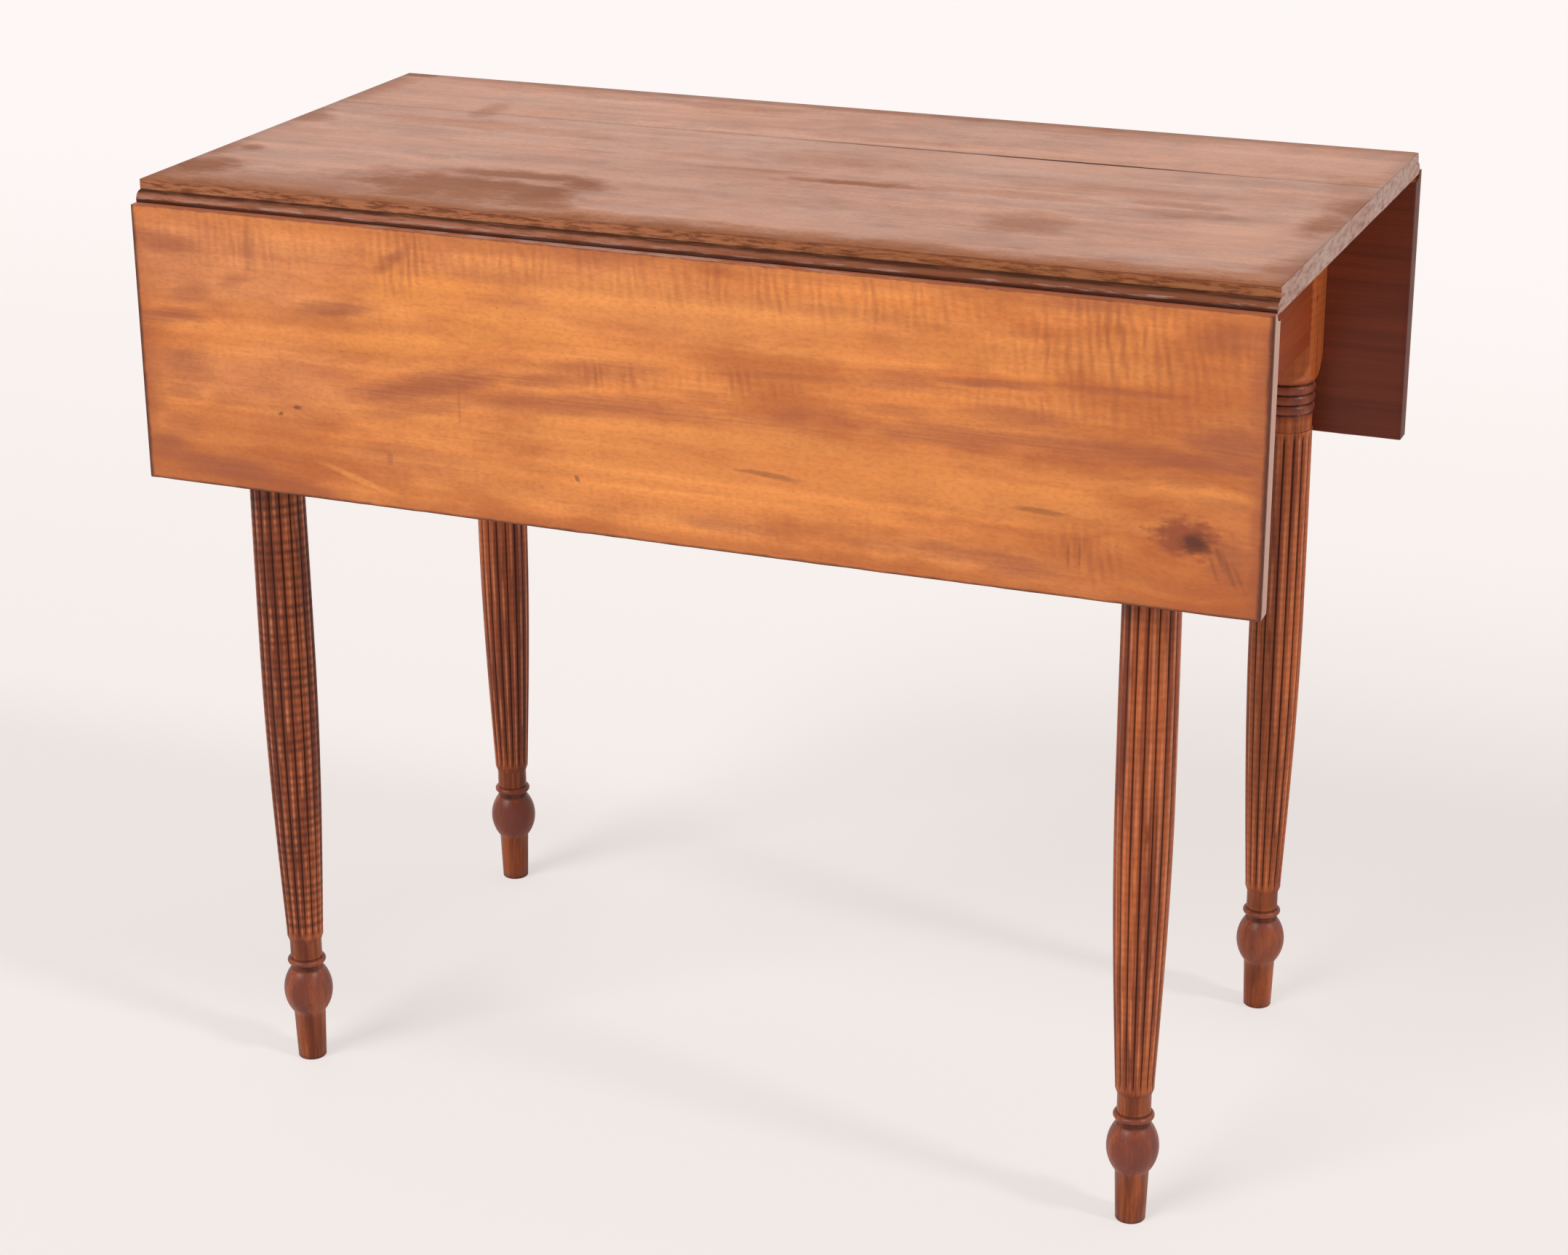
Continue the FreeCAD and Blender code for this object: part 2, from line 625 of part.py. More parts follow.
def ogee(shift, top):
    """The sawn S curve at the free end of the fly, from its foot to its top corner."""
    tall = f"(({top}) - rail_bottom)"

    def spot(share_x, share_z):
        return f"{share_x} * fly_reach + {shift}", f"rail_bottom + {share_z} * {tall}"

    return [
        (*spot(foot_share, 0), spot(bow_x, bow_z)),
        (*spot(turn_x, turn_z), spot(crown_x, crown_z)),
        (f"fly_reach + {shift}", top),
    ]


fly_board = padded("fly_board", "XZ_Plane", [("0", "rail_bottom"), *ogee("0", fly_top), ("0", fly_top)],
                   fly_thickness)
place(fly_board, ("0", "outer_rail_y + fly_clear / 2", "0"))
back_stop_rail = padded("back_right_outer_rail", "XZ_Plane",
                        [*ogee("saw_kerf", "underside"), ("post_inner_x", "underside"),
                         ("post_inner_x", "rail_bottom")], "outer_rail_thickness")
place(back_stop_rail, ("0", "outer_rail_y", "0"))
back_knuckle_board = block("knuckle_rail_board", ("-post_inner_x / 2", "outer_rail_y", "rail_middle"),
                           ("post_inner_x", "outer_rail_thickness", "rail_height"))

# Notch with two sides at 45 degrees that lets the fly stand square to the rail
notch = doc.addObject("Part::Box", "knuckle_notch")
for prop in ("Length", "Width"):
    bind(notch, prop, "outer_rail_thickness")
bind(notch, "Height", "rail_height + 2 * overrun")
notch.Placement.Rotation = FreeCAD.Rotation(FreeCAD.Vector(0, 0, 1), right_angle / 2)
place(notch, ("0", "outer_rail_y", "rail_bottom - overrun"))
fly_pin_bore = rod("fly_pin_bore", "z", ("0", "outer_rail_y", "rail_bottom - overrun"),
                   "fly_pin_diameter + 2 * running_gap", "rail_height + 2 * overrun")


def knuckled(name, board, own, other):
    """Board with its own knuckles, and rounded room for those of the other piece."""
    rooms = []
    knuckles = []
    for number in range(knuckle_count):
        low = f"rail_bottom + {number} * knuckle_height"
        if number in other:
            start = ("0", "outer_rail_y", f"{low} - knuckle_play / 2")
            rooms.append(rod(f"{name}_room_{number}", "z", start,
                             "2 * (knuckle_radius + knuckle_play)", "knuckle_height + knuckle_play"))
        if number in own:
            start = ("0", "outer_rail_y", f"{low} + knuckle_play / 2")
            knuckles.append(rod(f"{name}_knuckle_{number}", "z", start,
                                "2 * knuckle_radius", "knuckle_height - knuckle_play"))
    trimmed = cut(name + "_trimmed", board, [*rooms, notch])
    return cut(name, fuse(name + "_blank", [trimmed, *knuckles]), [fly_pin_bore])


rail_knuckles = range(0, knuckle_count, 2)
fly_knuckles = range(1, knuckle_count, 2)
back_knuckle_rail = knuckled("back_left_outer_rail", back_knuckle_board, rail_knuckles, fly_knuckles)
back_fly = knuckled("back_fly", fly_board, fly_knuckles, rail_knuckles)
back_fly_pin = rod("back_fly_pin", "z", ("0", "outer_rail_y", "rail_bottom"),
                   "fly_pin_diameter", "rail_height")


def half_turn(name, source):
    """The same piece turned half round, for the front of the table."""
    return mirror(name, mirror(source.Name + "_turning", source, "x"), "y")


nodes += [back_knuckle_rail, back_stop_rail, back_fly, back_fly_pin]
nodes += [half_turn("front_right_outer_rail", back_knuckle_rail),
          half_turn("front_left_outer_rail", back_stop_rail),
          half_turn("front_fly", back_fly), half_turn("front_fly_pin", back_fly_pin)]

# Glue blocks in the corner of the inner rails and the top
glue_block_y = "inner_rail_y - (inner_rail_thickness + glue_block_width) / 2"
back_right_block = block("back_right_glue_block",
                         ("post_inner_x - glue_block_offset", glue_block_y, "underside - glue_block_width / 2"),
                         ("glue_block_length", "glue_block_width", "glue_block_width"))


def four(source, stem):
    """A piece at the back right and its mirror images at the other three corners."""
    back_left = mirror(f"back_left_{stem}", source, "x")
    front_right = mirror(f"front_right_{stem}", source, "y")
    return [source, back_left, front_right, mirror(f"front_left_{stem}", back_left, "y")]


nodes += four(back_right_block, "glue_block")
nodes += four(back_right_top_plate, "hinge_top_plate")
nodes += four(back_right_leaf_plate, "hinge_leaf_plate")
nodes += four(back_right_hinge_pin, "hinge_pin")

# Fasteners in groups
top_screw_set = group("top_screw_set", top_hinge_screws)
nodes.append(group("top_hinge_screws", four(top_screw_set, "top_screw_set")))
leaf_screw_set = group("leaf_screw_set", leaf_hinge_screws)
back_leaf_screws = group("back_leaf_hinge_screws",
                         [leaf_screw_set, mirror("back_left_leaf_screw_set", leaf_screw_set, "x")])
nodes += [back_leaf_screws, mirror("front_leaf_hinge_screws", back_leaf_screws, "y")]
nodes.append(group("top_screws", [*four(side_screw, "side_top_screw"), end_screw,
                                  mirror("left_end_top_screw", end_screw, "x")]))
dowel_set = group("dowel_set", [*end_dowels, *side_dowels])
nodes.append(group("tenon_dowels", four(dowel_set, "dowel_set")))

doc.recompute()

failed = [item.Name for item in doc.Objects if "Invalid" in item.State or "Error" in item.State]
if failed:
    raise RuntimeError("failed objects: " + ", ".join(failed))
for node in nodes:
    if node.Shape.isNull() or not node.Shape.isValid():
        raise RuntimeError("bad shape: " + node.Label)

os.makedirs("parts", exist_ok=True)
for node in nodes:
    node.Shape.exportStep(f"parts/{node.Label}.step")
    print(node.Label, len(node.Shape.Solids), "solids", round(node.Shape.Volume), "mm3")
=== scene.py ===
import bpy
import bmesh
import math
from mathutils import Matrix, Vector, noise


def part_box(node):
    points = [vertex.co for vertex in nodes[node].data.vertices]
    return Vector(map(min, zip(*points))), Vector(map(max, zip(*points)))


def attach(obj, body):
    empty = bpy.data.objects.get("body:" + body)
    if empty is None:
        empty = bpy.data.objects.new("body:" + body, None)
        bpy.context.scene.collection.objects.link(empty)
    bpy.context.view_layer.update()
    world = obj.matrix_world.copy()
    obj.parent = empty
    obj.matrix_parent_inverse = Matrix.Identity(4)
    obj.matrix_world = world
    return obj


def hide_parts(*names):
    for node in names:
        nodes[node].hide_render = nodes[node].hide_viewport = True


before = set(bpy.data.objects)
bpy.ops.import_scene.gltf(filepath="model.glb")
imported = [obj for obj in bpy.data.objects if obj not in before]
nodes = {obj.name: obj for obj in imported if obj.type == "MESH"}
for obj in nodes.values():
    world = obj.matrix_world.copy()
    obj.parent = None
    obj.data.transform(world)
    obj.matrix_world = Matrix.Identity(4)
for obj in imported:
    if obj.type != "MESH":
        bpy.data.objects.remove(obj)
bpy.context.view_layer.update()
scene = bpy.context.scene
scene.view_settings.view_transform = "Standard"
mm = 0.001
weldGap = 0.002 * mm
print("frame loaded:", len(nodes), "CAD nodes")


def addObject(name, data):
    made = bpy.data.objects.new(name, data)
    scene.collection.objects.link(made)
    return made


def openMesh(mesh):
    shape = bmesh.new()
    shape.from_mesh(mesh)
    bmesh.ops.remove_doubles(shape, verts=shape.verts, dist=weldGap)
    return shape


def closeMesh(shape, mesh, shadeAngle):
    bmesh.ops.recalc_face_normals(shape, faces=shape.faces)
    shape.to_mesh(mesh)
    shape.free()
    if "custom_normal" in mesh.attributes:
        mesh.attributes.remove(mesh.attributes["custom_normal"])
    mesh.shade_smooth()
    mesh.set_sharp_from_angle(angle=math.radians(shadeAngle))
    return mesh


# Helpers for node trees: a socket or a plain value can go into any input

class Graph:
    def __init__(self, tree):
        self.tree = tree

    def add(self, kind, inputs=None, **settings):
        made = self.tree.nodes.new(kind)
        for name, value in settings.items():
            setattr(made, name, value)
        for key, value in (inputs or {}).items():
            self.feed(made.inputs[key], value)
        return made

    def feed(self, socket, value):
        if isinstance(value, bpy.types.NodeSocket):
            self.tree.links.new(value, socket)
        else:
            socket.default_value = value

    def calc(self, operation, *values):
        return self.add("ShaderNodeMath", dict(enumerate(values)), operation=operation).outputs[0]

    def times(self, first, *others):
        for other in others:
            first = self.calc("MULTIPLY", first, other)
        return first

    def plus(self, first, *others):
        for other in others:
            first = self.calc("ADD", first, other)
        return first

    def minus(self, first, second):
        return self.calc("SUBTRACT", first, second)

    def most(self, first, second):
        return self.calc("MAXIMUM", first, second)

    def size(self, value):
        return self.calc("ABSOLUTE", value)

    # factor * share + start
    def scaled(self, factor, share, start):
        return self.calc("MULTIPLY_ADD", factor, share, start)

    def vector(self, operation, first, second=None):
        made = self.add("ShaderNodeVectorMath", {0: first}, operation=operation)
        if second is not None:
            self.feed(made.inputs["Scale" if operation == "SCALE" else 1], second)
        return made.outputs["Value" if operation == "LENGTH" else "Vector"]

    def split(self, vector):
        return self.add("ShaderNodeSeparateXYZ", {0: vector}).outputs

    def join(self, x, y, z):
        return self.add("ShaderNodeCombineXYZ", {0: x, 1: y, 2: z}).outputs[0]

    # smooth step from low to high
    def rise(self, value, low, high, bottom=0.0, top=1.0):
        made = self.add("ShaderNodeMapRange", interpolation_type="SMOOTHSTEP")
        for number, entry in enumerate((value, low, high, bottom, top)):
            self.feed(made.inputs[number], entry)
        return made.outputs[0]

    # noise whose lumps have the given lengths along each axis
    def lumps(self, vector, lengths, detail=3.0, roughness=0.5, distortion=0.0):
        inputs = {"Vector": self.vector("DIVIDE", vector, lengths), "Scale": 1.0, "Detail": detail,
                  "Roughness": roughness, "Distortion": distortion}
        return self.add("ShaderNodeTexNoise", inputs).outputs[0]

    def tint(self, factor, first, second):
        made = self.add("ShaderNodeMix", data_type="RGBA")
        for number, entry in ((0, factor), (6, first), (7, second)):
            self.feed(made.inputs[number], entry)
        return made.outputs[2]

    def coat(self, base, mask, strength, over):
        return self.tint(self.times(mask, strength), base, over)

    def group(self, tree, **inputs):
        made = self.add("ShaderNodeGroup", node_tree=tree)
        for name, value in inputs.items():
            self.feed(made.inputs[name], value)
        return made.outputs


socketKinds = {int: "Int", float: "Float", tuple: "Vector"}


# an input is given by its default value, or by the name of a kind that has none
def addInputs(tree, inputs):
    for title, value in inputs.items():
        kind = value if isinstance(value, str) else socketKinds[type(value)]
        socket = tree.interface.new_socket(name=title, in_out="INPUT", socket_type="NodeSocket" + kind)
        if value is not kind:
            socket.default_value = value


def shaderGroup(name, inputs, *outputs):
    tree = bpy.data.node_groups.new(name, "ShaderNodeTree")
    addInputs(tree, {"Vector": (0, 0, 0), **inputs})
    for title in outputs:
        tree.interface.new_socket(name=title, in_out="OUTPUT", socket_type="NodeSocketFloat")
    g = Graph(tree)
    return tree, g, g.add("NodeGroupInput").outputs, g.add("NodeGroupOutput").inputs


def colour(red, green, blue):
    return (red, green, blue, 1.0)


# Effects that several finishes share; their vectors are in millimetres with the grain along X

def makeGrain():
    tree, g, entry, leave = shaderGroup("grain", {"Length": 90.0, "Width": 1.6},
                                          "Lines", "Streaks", "Pores", "Flecks")
    line = g.join(entry["Length"], entry["Width"], entry["Width"])
    streak = g.vector("SCALE", line, 11.0)
    g.feed(leave["Lines"], g.lumps(entry["Vector"], line, 4.0, 0.6, 0.3))
    g.feed(leave["Streaks"], g.rise(g.lumps(entry["Vector"], streak, 4.0, 0.55, 0.6), 0.34, 0.68))
    g.feed(leave["Pores"], g.rise(g.lumps(entry["Vector"], (7.0, 0.45, 0.45), 2.0), 0.62, 0.74))
    g.feed(leave["Flecks"], g.rise(g.lumps(entry["Vector"], (4.5, 2.2, 2.2), 3.0, 0.6), 0.42, 0.68))
    return tree


def makeCurl():
    tree, g, entry, leave = shaderGroup(
        "curl", {"Pitch": 8.0, "Lean": 0.15, "Wander": 12.0, "Break": 1.0}, "Figure")
    x, y, z = g.split(entry["Vector"])
    wander = g.minus(g.lumps(entry["Vector"], (30.0, 75.0, 75.0), 2.0), 0.5)
    leaning = g.scaled(g.plus(y, z), entry["Lean"], x)
    shifted = g.scaled(wander, entry["Wander"], leaning)
    wave = g.calc("SINE", g.times(g.calc("DIVIDE", shifted, entry["Pitch"]), math.tau))
    broken = g.rise(g.lumps(entry["Vector"], (16.0, 48.0, 48.0), 2.0), 0.66, 0.30)
    strength = g.minus(1.0, g.times(broken, entry["Break"]))
    g.feed(leave["Figure"], g.times(g.scaled(wave, 0.5, 0.5), strength))
    return tree


def makePatch():
    tree, g, entry, leave = shaderGroup(
        "softPatch", {"Centre": (0, 0, 0), "Reach": (1, 1, 1), "Turn": 0.0, "Rough": 0.5}, "Mask")
    away = g.vector("SUBTRACT", entry["Vector"], entry["Centre"])
    turned = g.add("ShaderNodeVectorRotate", {"Vector": away, "Axis": (0, 0, 1), "Angle": entry["Turn"]},
                   rotation_type="AXIS_ANGLE").outputs[0]
    far = g.vector("LENGTH", g.vector("DIVIDE", turned, entry["Reach"]))
    g.feed(leave["Mask"], g.rise(g.plus(far, entry["Rough"]), 1.15, 0.25))
    return tree


def makeEdgeWear():
    tree, g, entry, leave = shaderGroup(
        "edgeWear", {"Low": (0, 0, 0), "High": (1, 1, 1), "Width": 3.0, "Ragged": 2.4}, "Arris", "Rim")
    room = g.vector("MINIMUM", g.vector("SUBTRACT", entry["Vector"], entry["Low"]),
                    g.vector("SUBTRACT", entry["High"], entry["Vector"]))
    a, b, c = g.split(g.vector("MAXIMUM", room, (0, 0, 0)))
    # the second smallest distance is the distance from the nearest arris
    second = g.most(g.calc("MINIMUM", a, b), g.calc("MINIMUM", g.most(a, b), c))
    rough = g.minus(g.lumps(entry["Vector"], (9.0, 9.0, 9.0), 4.0, 0.65), 0.5)
    wide = g.times(entry["Width"], g.scaled(rough, entry["Ragged"], 1.0))
    g.feed(leave["Arris"], g.rise(second, g.most(wide, 0.1), 0.0))
    g.feed(leave["Rim"], g.rise(second, g.times(entry["Width"], 9.0), 0.0))
    return tree


def makeSpecks():
    tree, g, entry, leave = shaderGroup("specks", {"Spacing": 22.0, "Size": 0.7}, "Mask")
    close = g.vector("SCALE", entry["Vector"], g.calc("DIVIDE", 1.0, entry["Spacing"]))
    cells = g.add("ShaderNodeTexVoronoi", {"Vector": close, "Scale": 1.0, "Randomness": 1.0}).outputs
    near = g.times(cells["Distance"], entry["Spacing"])
    chosen = g.calc("GREATER_THAN", g.split(cells["Color"])[0], 0.45)
    g.feed(leave["Mask"], g.times(g.rise(near, entry["Size"], 0.0), chosen))
    return tree


grain = makeGrain()
curl = makeCurl()
softPatch = makePatch()
edgeWear = makeEdgeWear()
specks = makeSpecks()
print("shared effects:", len(bpy.data.node_groups))


# A finish starts with object coordinates in millimetres, turned so that the grain runs along X. It lays a
# ground of two tones, and then coats, each with a mask, a strength and a tone of its wood

grainTurns = {"x": (0, 0, 0), "y": (0, 0, -math.pi / 2), "z": (0, math.pi / 2, 0)}


class Finish(Graph):
    def __init__(self, name, axis, wood):
        self.material = bpy.data.materials.new(name)
        self.material.use_nodes = True
        super().__init__(self.material.node_tree)
        self.wood = wood
        self.place = self.vector("SCALE", self.add("ShaderNodeTexCoord").outputs["Object"], 1 / mm)
        self.run = self.add("ShaderNodeMapping", {0: self.place, "Rotation": grainTurns[axis]}).outputs[0]

    def facing(self):
        return self.split(self.add("ShaderNodeTexCoord").outputs["Normal"])

    def ground(self, lighter=0.0):
        fine, broad = [self.group(grain, Vector=self.run, **self.wood[kind]) for kind in ("fine", "broad")]
        broadShare, fineShare = self.wood["shares"]
        self.tone = self.plus(self.times(broad["Lines"], broadShare), self.times(fine["Lines"], fineShare))
        low, high = self.wood["shadeRange"]
        self.shade = self.rise(self.tone, low + lighter, high + lighter)
        self.base = self.tint(self.shade, self.wood["light"], self.wood["middle"])
        return fine, broad

    def paint(self, mask, strength, tone):
        over = self.wood[tone] if isinstance(tone, str) else tone
        self.base = self.coat(self.base, mask, strength, over)

    # a mask of soft lumps: their sizes, detail and roughness, and the levels where it starts and is full
    def cloud(self, title, where):
        sizes, detail, roughness, low, high = self.wood["clouds"][title]
        return self.rise(self.lumps(where, sizes, detail, roughness), low, high)

    def paintSpecks(self):
        spacing, size, strength, tone = self.wood["specks"]
        self.paint(self.group(specks, Vector=self.place, Spacing=spacing, Size=size)["Mask"], strength, tone)

    # patches are (x, across, half length, half width, turn in degrees, strength) on the piece's face
    def patches(self, title, ragged, lump):
        rough = self.minus(self.lumps(self.face, self.wood[lump], 6.0, 0.65), 0.5)
        rough = self.times(rough, 2.0 * ragged)
        total = None
        for x, across, halfLength, halfWidth, turn, strength in self.wood[title]:
            mask = self.group(softPatch, Vector=self.face, Centre=(x, across, 0), Rough=rough,
                              Reach=(halfLength, halfWidth, 1), Turn=math.radians(-turn))["Mask"]
            part = self.times(mask, strength)
            total = part if total is None else self.most(total, part)
        return total

    def close(self, roughness, relief, others):
        strength, depth = self.wood["bump"]
        bump = self.add("ShaderNodeBump", {"Strength": strength, "Distance": depth * mm, "Height": relief})
        values = {"Base Color": self.base, "Roughness": roughness, "Normal": bump.outputs[0], **others}
        for title, value in values.items():
            self.feed(self.tree.nodes["Principled BSDF"].inputs[title], value)
        return self.material


# Leaves: amber curly maple under satin shellac

leaf = {
    "light": colour(0.95, 0.36, 0.097),
    "middle": colour(0.79, 0.245, 0.057),
    "red": colour(0.44, 0.106, 0.026),
    "dark": colour(0.30, 0.074, 0.029),
    "line": colour(0.075, 0.022, 0.014),
    "glow": colour(0.98, 0.375, 0.092),
    "haze": colour(0.70, 0.31, 0.16),
    "smudge": colour(0.33, 0.092, 0.046),
    # pale tone of the painted reflection on the leaf's ledge
    "ledge": colour(0.40, 0.23, 0.19),
    # inner faces: two darker tones, for dirt and for painted shade under the top
    "inside": (colour(0.20, 0.033, 0.012), colour(0.095, 0.015, 0.007)),
    # end grain: pale on the front leaf; on the back leaf a dark tone that is painted shade
    "ends": {True: colour(0.52, 0.31, 0.24), False: colour(0.10, 0.022, 0.010)},
    "curl": {"Pitch": 7.6, "Lean": 0.12, "Wander": 20.0, "Break": 0.8},
    "ripple": {"Pitch": 4.6, "Lean": -0.1, "Wander": 16.0, "Break": 1.0},
    "roughness": 0.42, "specular": 0.28, "bump": (0.18, 0.25),
    "fine": {"Length": 95.0, "Width": 1.5}, "broad": {"Length": 420.0, "Width": 16.0},
    "shares": (0.80, 0.32), "shadeRange": (0.32, 0.82),
    "grainCoats": {"Streaks": 0.24, "Pores": 0.16, "Flecks": 0.18}, "specks": (21.0, 0.9, 0.75, "line"),
    # sizes of the soft lumps that break up bands, clouds and streaks
    "bandLump": (60.0, 14.0, 1.0), "cloudLump": (110.0, 42.0, 42.0), "streakLump": (26.0, 2.5, 1.0),
    "ledgeLump": (18.0, 9.0, 9.0), "edgeLump": (14.0, 14.0, 14.0),
    "clouds": {"reddish": ((110.0, 42.0, 42.0), 5.0, 0.6, 0.42, 0.68),
               "backBands": ((260.0, 20.0, 24.0), 3.0, 0.5, 0.48, 0.75),
               "backCurls": ((160.0, 50.0, 50.0), 2.0, 0.5, 0.42, 0.62)},
    # broad changes of tone over the front face
    "reds": [(440, 600, 230, 180, 0, 0.45), (430, 515, 170, 50, 0, 0.9), (-400, 512, 190, 36, -9, 0.9),
             (-445, 600, 50, 150, 0, 0.7), (150, 500, 420, 12, 0, 0.5), (400, 520, 110, 30, 0, 0.8),
             (350, 525, 130, 42, 0, 0.8), (-340, 534, 130, 30, -9, 0.7)],
    "hazes": [(0, 670, 170, 30, 0, 0.45), (-350, 670, 150, 50, 0, 0.6), (-330, 585, 120, 30, 4, 0.45),
              (-100, 690, 160, 20, 0, 0.4)],
    "glows": [(20, 580, 170, 12, 0, 0.8), (60, 545, 240, 22, 1, 0.5), (-120, 530, 90, 22, 2, 0.5),
              (-254, 517, 40, 3.0, -17, 0.9), (10, 672, 190, 26, 0, 0.9), (300, 580, 110, 8, 0, 0.6),
              (390, 581, 60, 11, -3, 0.8), (-190, 665, 110, 20, 3, 0.9), (-215, 624, 85, 13, 3, 0.9),
              (-60, 567, 120, 9, 1, 0.8), (115, 582, 50, 11, 0, 0.9), (230, 562, 165, 24, -2, 0.9),
              (230, 663, 100, 15, -1, 0.7), (330, 678, 45, 10, 0, 0.5), (-330, 638, 34, 10, 0, 0.7),
              (-110, 650, 65, 19, -6, 0.9), (-110, 690, 60, 12, 0, 0.6), (330, 663, 55, 14, 0, 0.7),
              (-148, 636, 30, 12, 0, 0.8), (75, 569, 60, 7, 0, 0.7), (190, 547, 60, 6, 0, 0.7),
              (332, 540, 22, 9, 0, 0.7)],
    # soft brown bands and smudges
    "bands": [(-60, 594, 170, 11, 2, 0.8), (-10, 594, 110, 4, 1, 0.7), (250, 603, 220, 12, 0.8, 0.75),
              (385, 604, 80, 9, 1.5, 0.9), (-195, 593, 84, 15, 12, 1.0), (-260, 646, 42, 9, 6, 0.95),
              (-402, 626, 42, 9, 6, 1.0), (-385, 645, 30, 9, 18, 0.5), (-405, 680, 38, 12, -6, 0.8),
              (-212, 688, 28, 6, 36, 0.7), (-240, 664, 20, 7, 38, 0.25), (-360, 512, 95, 12, -7, 0.9),
              (-415, 524, 26, 16, 0, 0.8), (45, 517, 44, 7, 0, 0.6), (35, 607, 24, 8, 0, 0.6),
              (165, 516, 40, 5, 0, 0.5), (200, 519, 34, 7, 0, 0.7), (262, 514, 50, 9, 0, 0.9),
              (-60, 702, 380, 6, 0, 0.2), (428, 640, 16, 85, 0, 0.7), (430, 550, 12, 70, 0, 0.7),
              (405, 688, 36, 14, 0, 0.6), (-300, 556, 60, 14, 6, 0.35), (-425, 575, 20, 60, 0, 0.45),
              (-335, 685, 4, 22, 0, 0.7), (-224, 535, 5, 9, 0, 0.9), (90, 631, 110, 3, 3.2, 0.4),
              (235, 642, 62, 4.5, 2.5, 0.95), (330, 646, 70, 4, 2, 0.5), (408, 618, 44, 20, 0, 0.95),
              (375, 551, 9, 10, 0, 0.9), (-205, 536, 70, 16, -4, 0.5), (-395, 592, 32, 18, 0, 0.75),
              (-398, 540, 24, 14, 0, 0.5), (-50, 622, 75, 10, 2, 0.6), (180, 638, 46, 10, 2, 0.65),
              (262, 622, 55, 9, 0, 0.7), (170, 617, 34, 8, 0, 0.5), (300, 703, 44, 8, 0, 0.6),
              (409, 541, 22, 24, 0, 0.75), (378, 588, 22, 6, 0, 0.5), (-95, 608, 48, 8, 4, 0.8),
              (-200, 577, 64, 9, 10, 0.6), (-350, 656, 20, 7, 15, 0.6), (-398, 568, 22, 9, 0, 0.6),
              (420, 604, 26, 9, 0, 1.0), (410, 576, 32, 6, 0, 0.5), (230, 516, 70, 9, 0, 0.7)],
    # thin dark streaks and checks
    "streaks": [(78, 558, 30, 3.0, -4, 0.6), (277, 556, 26, 2.6, -1.5, 0.6), (-72, 538, 4, 2.4, -60, 0.8),
                (-314, 560, 3, 1.8, 30, 0.9), (-300, 566, 4, 2.0, 0, 0.9), (-165, 582, 1.3, 18, 0, 0.3),
                (402, 540, 2.6, 15, 22, 0.5), (409, 530, 2.4, 17, 24, 0.45), (398, 532, 1.8, 13, 20, 0.4),
                (416, 526, 2.0, 15, 26, 0.35), (363, 551, 2.0, 8, 0, 0.5), (369, 551, 1.6, 7, 0, 0.4),
                (305, 530, 1.2, 14, 0, 0.5), (297, 528, 1.2, 12, 0, 0.4)],
    # where the stripes of the curl show most
    "curlSpots": [(330, 676, 115, 46, 0, 1.0), (60, 692, 330, 22, 0, 0.65), (-205, 688, 40, 32, 0, 0.9),
                  (-340, 690, 80, 30, 0, 0.55), (-42, 617, 45, 12, 2, 0.9), (58, 623, 55, 13, 2, 0.8),
                  (300, 632, 120, 16, 0, 0.6), (310, 528, 34, 24, 0, 0.9), (20, 520, 240, 18, 0, 0.1)],
    "knot": {"centre": (385, 547), "reach": (11.0, 8.0, 1.0), "swirl": 40.0, "parting": -0.75,
             "halo": (27.0, 16.0, 1.0), "haloShift": (6.0, -3.0, 0.0), "lump": (11.0, 5.0, 5.0)},
    "lineWidths": {"side": 4.4, "bottom": 3.2},
}


